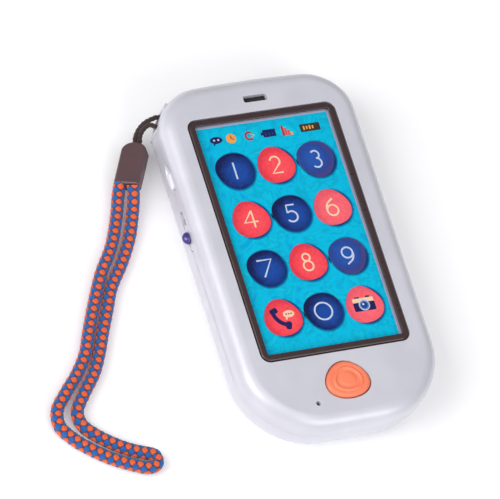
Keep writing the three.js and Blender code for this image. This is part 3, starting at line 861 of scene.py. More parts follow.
    def finish(self, body: Body, slot: str, *materials: Material, stands_for: Sequence[str] = (),
               smooth: float = 35.0, weighted: bool = True) -> bpy.types.Object:
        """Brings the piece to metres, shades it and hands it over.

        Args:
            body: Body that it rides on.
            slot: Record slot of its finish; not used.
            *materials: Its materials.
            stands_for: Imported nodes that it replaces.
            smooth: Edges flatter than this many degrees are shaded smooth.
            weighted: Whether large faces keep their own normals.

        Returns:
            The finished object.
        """
        self.obj.scale = (MM, MM, MM)
        self.settle()
        self.obj.data.materials.clear()
        for material in materials:
            self.obj.data.materials.append(material)
        bpy.ops.object.shade_smooth_by_angle(angle=math.radians(smooth))
        if weighted:
            self.modify("WEIGHTED_NORMAL", keep_sharp=True)
        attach(self.obj, body.value)
        if stands_for:
            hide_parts(*stands_for)
        LOG.info("made %s, %d faces", self.obj.name, len(self.obj.data.polygons))
        return self.obj


class Editing:
    """Edit mode on one piece, for the length of a with block."""

    def __init__(self, piece: Piece) -> None:
        """Keeps the piece."""
        self.piece = piece

    def __enter__(self) -> Piece:
        """Enters edit mode."""
        self.piece.activate()
        bpy.ops.object.mode_set(mode="EDIT")
        return self.piece

    def __exit__(self, *_: object) -> None:
        """Leaves edit mode."""
        bpy.ops.object.mode_set(mode="OBJECT")


def on_side(side: float, y: float, height: float) -> Matrix:
    """Gives the turn and place that lay an upright shape into the case's left side, its top inwards."""
    return Matrix.Translation((side, y, height)) @ Matrix.Rotation(math.pi / 2, 4, "Y")


def level(height: float, sharp: float = 25.0,
          within: Callable[[Vector], bool] = lambda spot: True) -> Callable:
    """Makes a test for sharp edges that lie at one height.

    Args:
        height: The height.
        sharp: Least angle between the edge's faces, in degrees.
        within: Test of the edge's middle.

    Returns:
        The edge test.
    """
    def test(edge: bmesh.types.BMEdge) -> bool:
        """Says whether an edge is at the height and sharp."""
        first, second = (corner.co for corner in edge.verts)
        if abs(first.z - height) > 0.02 or abs(second.z - height) > 0.02:
            return False
        return edge.calc_face_angle(0.0) > math.radians(sharp) and within((first + second) / 2)

    return test


def sharp_edges(angle: float = 40.0, within: Callable[[Vector], bool] = lambda spot: True) -> Callable:
    """Makes a test for sharp edges in a region.

    Args:
        angle: Least angle between the edge's faces, in degrees.
        within: Test of the edge's middle.

    Returns:
        The edge test.
    """
    def test(edge: bmesh.types.BMEdge) -> bool:
        """Says whether an edge is sharp and in the region."""
        middle = (edge.verts[0].co + edge.verts[1].co) / 2
        return edge.calc_face_angle(0.0) > math.radians(angle) and within(middle)

    return test


# ---------------------------------------------------------------- cords


def smooth_route(points: Sequence[Point], step: float) -> list[Vector]:
    """Runs a centripetal curve through a route's points.

    Args:
        points: The route.
        step: Distance between the results, in the route's unit.

    Returns:
        Points along the curve.
    """
    knots = [Vector(p) for p in points]
    knots = [2 * knots[0] - knots[1], *knots, 2 * knots[-1] - knots[-2]]
    fine: list[Vector] = []
    for a, b, c, d in zip(knots, knots[1:], knots[2:], knots[3:]):
        times = [0.0]
        for first, second in ((a, b), (b, c), (c, d)):
            times.append(times[-1] + max((second - first).length, 1e-6) ** 0.5)
        t0, t1, t2, t3 = times
        pieces = 24
        for i in range(pieces):
            t = t1 + (t2 - t1) * i / pieces
            ab = a * ((t1 - t) / (t1 - t0)) + b * ((t - t0) / (t1 - t0))
            bc = b * ((t2 - t) / (t2 - t1)) + c * ((t - t1) / (t2 - t1))
            cd = c * ((t3 - t) / (t3 - t2)) + d * ((t - t2) / (t3 - t2))
            low = ab * ((t2 - t) / (t2 - t0)) + bc * ((t - t0) / (t2 - t0))
            high = bc * ((t3 - t) / (t3 - t1)) + cd * ((t - t1) / (t3 - t1))
            fine.append(low * ((t2 - t) / (t2 - t1)) + high * ((t - t1) / (t2 - t1)))
    fine.append(knots[-2])
    reach = [0.0]
    for first, second in zip(fine, fine[1:]):
        reach.append(reach[-1] + (second - first).length)
    count = max(2, round(reach[-1] / step))
    even: list[Vector] = []
    place = 0
    for i in range(count + 1):
        goal = reach[-1] * i / count
        while place < len(reach) - 2 and reach[place + 1] < goal:
            place += 1
        span = reach[place + 1] - reach[place]
        even.append(fine[place].lerp(fine[place + 1], (goal - reach[place]) / span if span else 0.0))
    return even


@dataclass
class Sweep:
    """A closed tube along a line, with relief and a chart that follow the strands.

    Attributes:
        line: Evenly spaced points of the middle line.
        radius: Radius of the tube.
        sides: Corners of the section.
        relief: Gives a height above or below the radius for a turn (0 to 1) and a distance along.
        weave: Gives the chart for a turn and a distance along.
    """

    line: Sequence[Vector]
    radius: float
    sides: int
    relief: Callable[[float, float], float] = lambda turn, along: 0.0
    weave: Callable[[float, float], Spot] = lambda turn, along: (turn, along)

    def sections(self) -> list[list[Vector]]:
        """Works out the corners of every section, with no twist from one to the next."""
        rings = []
        side = Vector((0, 0, 1))
        along = 0.0
        last = len(self.line) - 1
        for i, middle in enumerate(self.line):
            ahead = (self.line[min(i + 1, last)] - self.line[max(i - 1, 0)]).normalized()
            side = (side - ahead * side.dot(ahead)).normalized()
            up = ahead.cross(side)
            if i:
                along += (middle - self.line[i - 1]).length
            ring = []
            for k in range(self.sides):
                turn = k / self.sides
                out = math.cos(turn * 2 * math.pi) * side + math.sin(turn * 2 * math.pi) * up
                ring.append(middle + out * (self.radius + self.relief(turn, along)))
            rings.append(ring)
        return rings

    def piece(self, name: str) -> Piece:
        """Builds the tube.

        Args:
            name: Name of the piece.

        Returns:
            The tube, closed at both ends.
        """
        rings = self.sections()
        count = self.sides
        corners = [spot for ring in rings for spot in ring]
        starts = [(i * count, k, (k + 1) % count) for i in range(len(rings) - 1) for k in range(count)]
        faces = [[at + k, at + after, at + count + after, at + count + k] for at, k, after in starts]
        faces.append(list(range(count))[::-1])
        faces.append([(len(rings) - 1) * count + k for k in range(count)])
        mesh = bpy.data.meshes.new(name)
        mesh.from_pydata(corners, [], faces)
        step = (self.line[1] - self.line[0]).length
        chart = mesh.uv_layers.new(name="chart")
        for face in mesh.polygons:
            turns = [v % count for v in face.vertices]
            wraps = max(turns) - min(turns) > count / 2 and len(turns) == 4
            for loop, vertex in zip(face.loop_indices, face.vertices):
                turn = vertex % count
                turn = (turn + count if wraps and turn < count / 2 else turn) / count
                chart.data[loop].uv = self.weave(turn, vertex // count * step)
        obj = bpy.data.objects.new(name, mesh)
        bpy.context.scene.collection.objects.link(obj)
        return Piece(obj, name)


# ---------------------------------------------------------------- studio


@dataclass
class Studio:
    """The camera, the pale floor and the soft lights."""

    target: Point = (-0.01918, 0.00189, 0.0205)
    distance: float = 1.79111
    azimuth: float = -48.0527
    elevation: float = 58.5142
    roll: float = 34.65
    lens: float = 387.5
    floor_half: float = 3.0
    bright_side: Point = (-0.6, -0.6, 0.5)
    sky_range: Spot = (0.14, 0.52)

    def camera(self) -> None:
        """Sets the camera at its viewing angle."""
        turn, rise = math.radians(self.azimuth), math.radians(self.elevation)
        away = Vector((math.sin(turn) * math.cos(rise), -math.cos(turn) * math.cos(rise), math.sin(rise)))
        data = bpy.data.cameras.new("camera")
        data.lens = self.lens
        data.clip_start, data.clip_end = 0.05, 20.0
        data.dof.use_dof = False
        camera = bpy.data.objects.new("camera", data)
        bpy.context.scene.collection.objects.link(camera)
        facing = (-away).to_track_quat("-Z", "Y").to_matrix().to_4x4()
        place = Matrix.Translation(Vector(self.target) + away * self.distance)
        camera.matrix_world = place @ facing @ Matrix.Rotation(math.radians(self.roll), 4, "Z")
        bpy.context.scene.camera = camera

    def floor(self) -> None:
        """Lays a pale floor just under the object."""
        clear_selection()
        bpy.ops.mesh.primitive_plane_add(size=2 * self.floor_half, location=(0, 0, -0.0002))
        floor = bpy.context.object
        floor.name = "floor"
        mix = Recipe("pale_floor", hue("FBFBFC"), 0.9, Specular_IOR_Level=0.1, Emission_Strength=0.1,
                     Emission_Color=hue("FFFFFF"))
        mix.feed("Base Color", mix.ramp(mix.noise(400.0), [(0.3, hue("FAFAFB")), (0.7, hue("FDFDFE"))]))
        floor.data.materials.append(mix.material)

    def softbox(self, name: str, spot: Point, size: float, power: float, tint: Colour) -> None:
        """Hangs a square soft light that faces the object."""
        data = bpy.data.lights.new(name, "AREA")
        data.size = size
        data.energy = power
        data.color = tint[:3]
        light = bpy.data.objects.new(name, data)
        bpy.context.scene.collection.objects.link(light)
        facing = (-Vector(spot)).to_track_quat("-Z", "Y").to_matrix().to_4x4()
        light.matrix_world = Matrix.Translation(spot) @ facing

    def surround(self) -> None:
        """Surrounds the object with soft light, brighter from one side."""
        world = bpy.data.worlds.new("studio")
        world.use_nodes = True
        tree = world.node_tree
        sky = tree.nodes["Background"]
        sky.inputs["Color"].default_value = (0.97, 0.97, 1.0, 1.0)
        aim = tree.nodes.new("ShaderNodeVectorMath")
        aim.operation = "DOT_PRODUCT"
        aim.inputs[1].default_value = self.bright_side
        shade = tree.nodes.new("ShaderNodeMapRange")
        shade.inputs["From Min"].default_value = -1.0
        shade.inputs["To Min"].default_value, shade.inputs["To Max"].default_value = self.sky_range
        tree.links.new(tree.nodes.new("ShaderNodeTexCoord").outputs["Generated"], aim.inputs[0])
        tree.links.new(aim.outputs["Value"], shade.inputs["Value"])
        tree.links.new(shade.outputs["Result"], sky.inputs["Strength"])
        bpy.context.scene.world = world

    def lights(self) -> None:
        """Lights the object from the camera's side."""
        self.surround()
        self.softbox("top_light", (-0.1, -0.3, 1.6), 1.2, 4.5, (1.0, 1.0, 1.0, 1.0))
        self.softbox("left_light", (-1.15, 0.0, 0.95), 1.0, 14.0, (1.0, 0.99, 0.98, 1.0))
        self.softbox("low_light", (0.35, -1.05, 0.85), 0.8, 6.0, (1.0, 1.0, 1.0, 1.0))
        bpy.context.scene.view_settings.view_transform = "Standard"

    def build(self) -> None:
        """Sets the whole studio up."""
        self.camera()
        self.floor()
        self.lights()


# ---------------------------------------------------------------- case


@dataclass
class Case:
    """The two shells, their openings and the battery door's seat."""

    finishes: Finishes
    top_corner: float = 16.0
    bottom_corner: float = 25.0
    end_bulge: float = 1.5
    face_round: float = 5.0
    back_round: float = 8.7
    wall: float = 2.0
    side_z: float = 12.9
    screws: tuple[Spot, ...] = ((-22, 57.5), (22, 57.5), (-22, -46), (22, -46))
    screw_head: float = 2.6
    thread: float = 1.2
    door_screw_y: float = -56.2
    tongue: float = 5.3
    bay_half: float = 16.9
    bay_ends: Spot = (-53.2, -3.4)
    bay_wall: float = 1.3
    speaker_y: float = 33.0
    sound_hole: float = 0.9
    scoop: Point = (2.2, 6.2, 2.6)
    slot_half: float = 2.55
    groove: Point = (2.7, 5.1, 0.5)
    anchor_half: float = 5.3
    anchor_span: Spot = (8.2, 15.2)

    def __post_init__(self) -> None:
        """Takes the case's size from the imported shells."""
        self.low, self.high = box_mm("front_shell")
        rear_low, rear_high = box_mm("rear_shell")
        self.back, self.rear_top = rear_low.z, rear_high.z
        self.side = self.low.x
        self.length = rear_high.y - rear_low.y

    def outline(self, name: str, low: float, high: float) -> Piece:
        """Raises a block of the case outline: four round corners and ends that bow outwards.

        Args:
            name: Name of the piece.
            low: Height of the bottom.
            high: Height of the top.

        Returns:
            The block.
        """
        clear_selection()
        bpy.ops.mesh.primitive_plane_add(size=1, location=(0, 0, low))
        piece = Piece(bpy.context.object, name)
        half_w, half_l = self.high.x, self.length / 2
        piece.obj.scale = (2 * half_w, 2 * half_l, 1)
        piece.settle()
        with piece.editing():
            for sign, radius in ((1, self.top_corner), (-1, self.bottom_corner)):
                piece.pick(Pick.VERT, lambda v: v.co.y * sign > 0)
                bpy.ops.mesh.bevel(offset=radius, segments=24, affect="VERTICES")
                piece.pick(Pick.EDGE, lambda e: all(abs(v.co.y - sign * half_l) < 0.01 for v in e.verts))
                bpy.ops.mesh.subdivide(number_cuts=9)
            for corner in bmesh.from_edit_mesh(piece.obj.data).verts:
                radius = self.top_corner if corner.co.y > 0 else self.bottom_corner
                share = min(1.0, max(0.0, (abs(corner.co.y) - half_l + radius) / radius))
                bow = self.end_bulge * (corner.co.x / half_w) ** 2 * share
                corner.co.y -= math.copysign(bow, corner.co.y)
        return piece.raise_to(high - low)

    def hollow(self, piece: Piece, open_height: float) -> Piece:
        """Opens a block at one height and gives it a wall."""
        with piece.editing():
            piece.pick(Pick.FACE, lambda f: abs(f.calc_center_median().z - open_height) < 0.01
                       and abs(f.normal.z) > 0.9)
            bpy.ops.mesh.delete(type="FACE")
        return piece.modify("SOLIDIFY", thickness=self.wall, offset=-1.0, use_even_offset=True, use_rim=True)

    def rear_blank(self, name: str) -> Piece:
        """Makes the rear shell's solid outer shape."""
        blank = self.outline(name, self.back, self.rear_top)
        return blank.round_edges(level(self.back, 60.0), self.back_round, 14)

    def anchor(self, inner: float, outer: float, half: float, low: float, high: float) -> Piece:
        """Makes a block turned into the anchor corner, measured out from the corner's centre."""
        block = Piece.block("anchor_tool", (inner, -half, low), (outer, half, high))
        centre = Vector((-self.high.x + self.top_corner, self.length / 2 - self.top_corner, 0))
        return block.set_by(Matrix.Translation(centre) @ Matrix.Rotation(math.radians(150), 4, "Z"))

    def side_tools(self) -> list[Piece]:
        """Makes the tools of the rocker's scoop, the slider's slot and the strap's pocket."""
        low, high = box_mm("volume_rocker")
        middle = (low.y + high.y) / 2
        scoop = Piece.ball("scoop_tool", (self.side - 0.7, middle + 0.6, self.side_z), self.scoop)
        width, length = SideControls.pill[1] + 2 * GAP, SideControls.pill[0] + 2 * GAP
        hole = Piece.slab("rocker_tool", (0, 0), width, length, width / 2 - 0.05, -5, 5)
        hole.set_by(on_side(self.side, middle, self.side_z))
        low, high = box_mm("slide_switch_knob")
        middle = (low.y + high.y) / 2
        travel = next(j["range_m"][1] for j in frame["joints"] if j["name"] == "power_slide") / MM
        start, end = middle - self.slot_half, middle + self.slot_half + travel
        slot = Piece.block("slot_tool", (self.side - 3, start, self.side_z - 1),
                           (self.side + 4, end, self.side_z + 1))
        height, longer, depth = self.groove
        groove = Piece.slab("groove_tool", (0, 0), height, end - start + longer, 1.3, -5, depth)
        groove.set_by(on_side(self.side, (start + end) / 2, self.side_z))
        pocket = self.anchor(10, 20, 3.5, 8.3, 14.3).round_edges(sharp_edges(60), 0.8, 3)
        # The slot and pocket walls take the dark opening finish: painted shade in these recesses.
        return [scoop, hole, groove, slot.dark(), pocket.dark()]

    def front(self) -> None:
        """Builds the front shell with its screen hole, slot, button hole and microphone hole."""
        top = self.high.z
        shell = self.outline("front_cover", self.low.z, top)
        shell.round_edges(level(top, 60.0), self.face_round, 12)
        self.two_finishes(self.hollow(shell, self.low.z))
        bezel_low, bezel_high = box_mm("bezel_frame")
        size = bezel_high - bezel_low
        middle = (bezel_low + bezel_high) / 2
        baffle_low, baffle_high = box_mm("earpiece_baffle")
        ear_y = (baffle_low.y + baffle_high.y) / 2
        mic_low, mic_high = box_mm("microphone")
        mic = (mic_low + mic_high) / 2
        shell.fuse(self.anchor(*self.anchor_span, self.anchor_half, self.low.z, 16))
        shell.cut(
            Piece.slab("screen_tool", middle, size.x + 2 * GAP, size.y + 2 * GAP, 3.3, 5, 30),
            Piece.slab("ear_tool", (0, ear_y), 8.6, 2.3, 0.6, 15, 30),
            HomeButton(self.finishes).outline("button_tool", GAP, 15, 30),
            Piece.post("mic_tool", mic.x, mic.y, 0.8, 15, 30, 24),
            *self.side_tools(),
        )
        shell.round_edges(level(top, 60.0), 0.3, 2)
        shell.round_edges(level(self.low.z, 60.0, self.on_rim), 0.25, 2)
        self.dress(shell, "front_shell")

    def dress(self, shell: Piece, node: str) -> None:
        """Finishes a shell in pearl, with painted shade on the walls of its marked openings."""
        shell.finish(Body.CASE, "pearl_case", self.finishes.pearl, self.finishes.inside, stands_for=[node])

    def two_finishes(self, shell: Piece) -> Piece:
        """Gives a shell the two finishes that its cuts choose from: pearl and the painted-shade opening
        finish.
        """
        shell.obj.data.materials.append(self.finishes.pearl)
        shell.obj.data.materials.append(self.finishes.inside)
        return shell

    def on_rim(self, spot: Vector) -> bool:
        """Says whether a point lies on the case's outermost outline."""
        near_side = abs(abs(spot.x) - self.high.x) < 0.5
        near_end = abs(spot.y) > self.length / 2 - 6 and abs(spot.x) < self.high.x - 16
        return near_side or near_end

    def rear(self) -> None:
        """Builds the rear shell with the battery bay, screw wells, sound holes and the door's seat."""
        shell = self.two_finishes(self.hollow(self.rear_blank("rear_cover"), self.rear_top))
        half, wall = self.bay_half, self.bay_wall
        low, high = self.bay_ends
        bay = Piece.block("bay_tool", (-half - wall, low - wall, 1.0),
                          (half + wall, high + wall, self.rear_top - 0.2))
        door_low, door_high = box_mm("battery_door")
        wells = [Piece.post("well_tool", x, y, 3.2, 1.0, self.rear_top - 0.1) for x, y in self.screws]
        boss = Piece.block("boss_tool", (-3.4, self.door_screw_y - 3.4, 1.0), (3.4, low, 10.3))
        anchor = self.anchor(*self.anchor_span, self.anchor_half, 5.5, self.rear_top)
        shell.fuse(bay, boss, *wells, anchor)
        seat = [
            Piece.block("seat_tool", (-half - 1.1, door_low.y + self.tongue - GAP, -1),
                        (half + 1.1, door_high.y + GAP, door_high.z - 1.0)),
            Piece.block("tongue_tool", (-4.3, door_low.y - GAP, -1), (4.3, door_low.y + 8, 2.2)),
            Piece.block("room_tool", (-half, low, -2), (half, high, self.rear_top + 1)),
            Piece.post("door_well", 0, self.door_screw_y, 3.5, -1, 3.5),
            Piece.post("door_thread", 0, self.door_screw_y, self.thread, 2, 9.3),
        ]
        shell.cut(
            *seat, *self.sound_holes(),
            *[Piece.post("screw_tool", x, y, self.screw_head, -1, 4.0) for x, y in self.screws],
            *[Piece.post("thread_tool", x, y, self.thread, 3, 13) for x, y in self.screws],
            *self.side_tools(),
        )
        shell.round_edges(level(self.back, 60.0, lambda s: abs(s.x) < 27 and abs(s.y) < 60), 0.25, 2)
        shell.round_edges(level(self.rear_top, 60.0, self.on_rim), 0.25, 2)
        self.dress(shell, "rear_shell")

    def sound_holes(self) -> list[Piece]:
        """Makes the tools of the loudspeaker's holes, in two rings round a middle one."""
        spots = [(0.0, self.speaker_y)]
        for count, ring in ((6, 4.0), (10, 7.6)):
            turns = [i / count * 2 * math.pi for i in range(count)]
            spots += [(ring * math.cos(t), self.speaker_y + ring * math.sin(t)) for t in turns]
        return [Piece.post("sound_tool", *spot, self.sound_hole, -1, 3, 16) for spot in spots]

    def door(self) -> None:
        """Builds the battery door: a panel with a screw tongue, finger grooves and a screw well."""
        low, high = box_mm("battery_door")
        top = low.z + 1.6
        length = high.y - low.y - self.tongue
        panel = Piece.slab("door_panel", (0, high.y - length / 2), high.x - low.x, length, 1.2, low.z, top, 4)
        panel.fuse(
            Piece.slab("tongue", (0, low.y + 4.0), 8, 8.0, 1.5, low.z, top - 0.01, 4),
            Piece.post("boss", 0, self.door_screw_y, 3, low.z + 1, 3.2),
        )
        panel.boolean("INTERSECT", self.rear_blank("door_trim"))
        rows = [-11 - row * 2.4 for row in (-1, 0, 1)]
        panel.cut(
            *[Piece.rod("groove", (0, y, low.z - 0.35), 0.8, 14, Axis.X, 20) for y in rows],
            Piece.post("well", 0, self.door_screw_y, 2.4, low.z - 1, 1.95),
            Piece.post("hole", 0, self.door_screw_y, 1.35, 1, 5),
        )
        panel.round_edges(level(low.z, 60.0), 0.2, 2)
        panel.finish(Body.DOOR, "pearl_case", self.finishes.pearl, stands_for=["battery_door"])

    def build(self) -> None:
        """Builds the front shell, the rear shell and the door."""
        self.front()
        self.rear()
        self.door()


# ---------------------------------------------------------------- screen


@dataclass
class Screen:
    """The brown bezel, the clear window and the sheets behind it."""

    finishes: Finishes
    band: float = 2.3
    margin: float = 0.5

    def bezel(self) -> None:
        """Builds the bezel: an outer frame with a sight hole and a seat for the window."""
        low, high = box_mm("bezel_frame")
        window_low, window_high = box_mm("screen_window")
        size, middle = high - low, (low + high) / 2
        ring = Piece.slab("bezel_ring", middle, size.x, size.y, 3.0, low.z, high.z, 10)
        ring.round_edges(level(high.z, 60.0), 0.7, 6)
        width, length = size.x - 2 * self.band, size.y - 2 * self.band
        ring.cut(
            Piece.slab("sight", middle, width, length, 0.6, low.z - 1, 30, 4),
            Piece.block("seat", (window_low.x - GAP, window_low.y - GAP, low.z - 1),
                        (window_high.x + GAP, window_high.y + GAP, window_high.z + 0.05)),
        )
        ring.round_edges(level(high.z, 60.0), 0.6, 5)
        ring.finish(Body.CASE, "bezel_brown", self.finishes.bezel, stands_for=["bezel_frame"])

    def window(self) -> None:
        """Builds the clear window with softened edges."""
        low, high = box_mm("screen_window")
        size, middle = high - low, (low + high) / 2
        pane = Piece.slab("window_pane", middle, size.x, size.y, 0.8, low.z, high.z, 4)
        pane.round_edges(level(high.z, 60.0), 0.12, 2)
        pane.finish(Body.CASE, "clear_window", self.finishes.acrylic, stands_for=["screen_window"])

    def sheet(self) -> None:
        """Builds the printed sheet and the ground that its art lies on."""
        low, high = box_mm("printed_screen_sheet")
        size, middle = high - low, (low + high) / 2
        ground = Piece.slab("printed_ground", middle, size.x, size.y, 1.0, low.z, high.z, 4)
        ground.round_edges(level(high.z, 60.0), 0.05, 1)
        frame_low, frame_high = box_mm("bezel_frame")
        reach = self.band + self.margin
        wash = PrintedWash(frame_high.x - reach, frame_low.y + reach, frame_high.y - reach).material()
        ground.finish(Body.CASE, "screen_print", wash, stands_for=["printed_screen_sheet"])

    def build(self) -> None:
        """Builds the bezel, the window and the printed sheet."""
        self.bezel()
        self.window()
        self.sheet()


class Ink(Enum):
    """Which ink a pebble key is printed in; the glare inks are lighter copies that carry a painted window
    reflection.
    """

    NAVY = "navy_ink"
    DUSK = "dusk_ink"
    CORAL = "coral_ink"
    ROSE = "rose_ink"


def arc(x: float, y: float, radius: float, start: float, end: float, squeeze: float = 1.0) -> list[Spot]:
    """Lists points on an arc.

    Args:
        x: Centre.
        y: Centre.
        radius: Radius.
        start: First angle in degrees.
        end: Last angle in degrees.
        squeeze: Height over width.

    Returns:
        The points.
    """
    steps = max(4, round(abs(end - start) / 12))
    turns = [math.radians(start + (end - start) * i / steps) for i in range(steps + 1)]
    return [(x + radius * math.cos(t), y + radius * squeeze * math.sin(t)) for t in turns]


DIGIT_STROKES: dict[str, list[list[Spot]]] = {
    "1": [[(0, 3.1), (0, -3.1)]],
    "2": [[*arc(0, 1.35, 1.75, 165, -35), (-1.9, -3.0), (2.0, -3.0)]],
    "3": [arc(-0.1, 1.55, 1.5, 140, -80), arc(-0.1, -1.4, 1.7, 85, -140)],
    "4": [[(0.9, 3.1), (-2.5, -1.0), (2.5, -1.0)], [(0.9, 3.1), (0.9, -3.1)]],
    "5": [[(1.7, 3.1), (-1.2, 3.1), (-1.45, 0.5), *arc(-0.1, -1.15, 1.95, 125, -145)]],
    "6": [[(0.9, 3.1), *arc(1.9, -0.4, 3.9, 130, 178, 0.85), *arc(0, -1.15, 1.95, 180, 535)]],
    "7": [[(-2.8, 3.1), (2.5, 3.1), (-1.5, -3.1)]],
    "8": [arc(0, 1.75, 1.35, -90, 270), arc(0, -1.4, 1.75, 90, 450)],
    "9": [arc(0, 1.15, 1.95, 0, 360), [(1.95, 1.15), *arc(-1.9, 0.4, 3.9, 2, -50, 0.85), (-0.9, -3.1)]],
    "0": [arc(0, 0, 3.1, 0, 360)],
}


@dataclass
class KeyPrint:
    """One printed pebble key: its ink, its soft shadow and its mark.

    Attributes:
        finishes: The finishes.
        label: Name of the key.
        ink: Its ink.
        middle: Its middle in X and Y.
        ground: Height of the sheet that it is printed on.
        radius: Mean radius of the pebble.
        points: How strongly the pebble has three blunt points.
        spread: Size of the shadow over that of the pebble.
        fall: How far the shadow is set off.
    """

    finishes: Finishes
    label: str
    ink: Ink
    middle: Spot
    ground: float
    radius: float = 6.7
    points: float = 0.045
    spread: float = 1.13
    fall: Spot = (0.45, -0.35)

    @property
    def warm(self) -> bool:
        """Says whether the key is a coral one, which points upwards."""
        return self.ink in (Ink.CORAL, Ink.ROSE)

    def outline(self, turn: float, grow: float = 1.0, shift: Spot = (0.0, 0.0)) -> Spot:
        """Gives the pebble's outline: a circle with three blunt points, heavier on one side."""
        aim = math.radians(100 if self.warm else -82)
        shape = 1 + self.points * math.cos(3 * (turn - aim)) - 0.02 * math.cos(turn - aim)
        reach = self.radius * grow * shape
        x, y = self.middle[0] + shift[0], self.middle[1] + shift[1]
        return (x + reach * math.cos(turn), y + reach * math.sin(turn))

    def stroke(self, name: str, points: Sequence[Spot], width: float, low: float) -> Piece:
        """Prints a line of even width as a flat ribbon.

        Args:
            name: Name of the piece.
            points: The line, about the key's middle.
            width: Width of the line.
            low: Height of its underside.

        Returns:
            The ribbon.
        """
        curve = bpy.data.curves.new(name, "CURVE")
        curve.dimensions = "3D"
        curve.bevel_depth = width / 2
        curve.bevel_resolution = 2
        curve.use_fill_caps = True
        spline = curve.splines.new("POLY")
        spline.points.add(len(points) - 1)
        for knot, (x, y) in zip(spline.points, points):
            knot.co = (x, y, 0, 1)
        obj = bpy.data.objects.new(name, curve)
        bpy.context.scene.collection.objects.link(obj)
        clear_selection()
        obj.select_set(True)
        bpy.context.view_layer.objects.active = obj
        bpy.ops.object.convert(target="MESH")
        piece = Piece(bpy.context.object, name)
        flat = Matrix.Diagonal((1, 1, 0.04 / width, 1))
        return piece.set_by(Matrix.Translation((*self.middle, low + 0.02)) @ flat)

    def pebble(self) -> None:
        """Prints the shadow and the inked pebble."""
        grow, (x, y) = self.spread, self.fall
        shadow = Piece.disc(f"key_{self.label}_shadow", lambda t: self.outline(t, grow, (x, y)),
                            self.ground + 0.005, self.ground + 0.03)
        shadow.chart((self.middle[0] + x, self.middle[1] + y), self.radius * grow)
        shadow.finish(Body.CASE, "screen_print", self.finishes.shadow)
        key = Piece.disc(f"key_{self.label}", self.outline, self.ground + 0.01, self.ground + 0.07)
        key.round_edges(level(self.ground + 0.07, 60.0), 0.03, 1)
        key.chart(self.middle, self.radius)
        key.finish(Body.CASE, "screen_print", getattr(self.finishes, self.ink.value))

    def digit(self) -> None:
        """Prints the key's number."""
        lines = DIGIT_STROKES[self.label]
        strokes = [self.stroke(f"digit_{self.label}", line, 0.62, self.ground + 0.06) for line in lines]
        ink = self.finishes.cream_ink if self.warm else self.finishes.pale_ink
        strokes[0].gather(*strokes[1:]).finish(Body.CASE, "screen_print", ink)

    def plate(self, name: str, x: float, y: float, width: float, height: float, corner: float,
              layer: int) -> Piece:
        """Prints a rounded plate about the key's middle, on a numbered layer."""
        low = self.ground + 0.06 + 0.02 * layer
        spot = (self.middle[0] + x, self.middle[1] + y)
        return Piece.slab(name, spot, width, height, corner, low, low + 0.02, 5)

    def dot(self, name: str, x: float, y: float, radius: float, layer: int, squeeze: float = 1.0) -> Piece:
        """Prints a round or oval spot about the key's middle, on a numbered layer."""
        low = self.ground + 0.06 + 0.02 * layer
        centre = (self.middle[0] + x, self.middle[1] + y)
        return Piece.disc(
            name, lambda t: (centre[0] + radius * math.cos(t), centre[1] + radius * squeeze * math.sin(t)),
            low, low + 0.02, 32)

    def handset(self) -> None:
        """Prints the call key's handset and its speech bubble."""
        deep, cream = self.finishes.deep_ink, self.finishes.cream_ink
        grip = self.stroke("mark_handset", arc(2.6, 2.6, 5.6, 172, 262), 1.5, self.ground + 0.06)
        for x, y, turn in ((-2.5, 2.6, 20), (1.4, -3.1, 70)):
            cup = self.plate("mark_handset_cup", 0, 0, 2.9, 2.0, 0.7, 1)
            centre = Vector((*self.middle, 0))
            aside = Matrix.Translation(centre + Vector((x, y, 0)))
            place = aside @ Matrix.Rotation(math.radians(turn), 4, "Z")
            grip.gather(cup.set_by(place @ Matrix.Translation(-centre)))
        grip.finish(Body.CASE, "screen_print", deep)
        bubble = self.dot("mark_bubble", 2.5, 1.0, 2.05, 1, 0.62)
        bubble.gather(self.stroke("mark_bubble_tail", [(1.6, 0.2), (1.2, -0.9)], 0.6, self.ground + 0.07))
        bubble.finish(Body.CASE, "screen_print", cream)
        dots = [self.dot("mark_bubble_dots", 1.6 + 0.9 * i, 1.0, 0.3, 3) for i in range(3)]
        dots[0].gather(*dots[1:]).finish(Body.CASE, "screen_print", self.finishes.brick_ink)

    def camera(self) -> None:
        """Prints the camera key's body, top band, lens and buttons."""
        cream = self.plate("mark_camera_top", 0, 1.6, 7.6, 1.7, 0.25, 0)
        cream.finish(Body.CASE, "screen_print", self.finishes.cream_ink)
        body = self.plate("mark_camera_body", 0, -0.7, 7.8, 3.2, 0.35, 1)
        body.gather(self.plate("mark_camera_flash", 1.9, 2.75, 1.5, 0.6, 0.1, 1),
                    self.plate("mark_camera_dial", -2.0, 2.7, 1.7, 0.5, 0.1, 1))
        body.finish(Body.CASE, "screen_print", self.finishes.deep_ink)
        rings = (("rim", 2.0, "pale_ink"), ("barrel", 1.65, "sky_ink"), ("glass", 1.15, "navy_ink"),
                 ("gleam", 0.4, "pale_ink"))
        for layer, (part, radius, ink) in enumerate(rings, 2):
            spot = (-0.35, 0.35) if part == "gleam" else (0.0, 0.0)
            ring = self.dot(f"mark_camera_{part}", spot[0], spot[1] - 0.2, radius, layer)
            ring.chart((self.middle[0], self.middle[1] - 0.2), radius)
            ring.finish(Body.CASE, "screen_print", getattr(self.finishes, ink))

    def build(self) -> None:
        """Prints the pebble and its mark."""
        self.pebble()
        marks = {"call": self.handset, "camera": self.camera}
        marks.get(self.label, self.digit)()


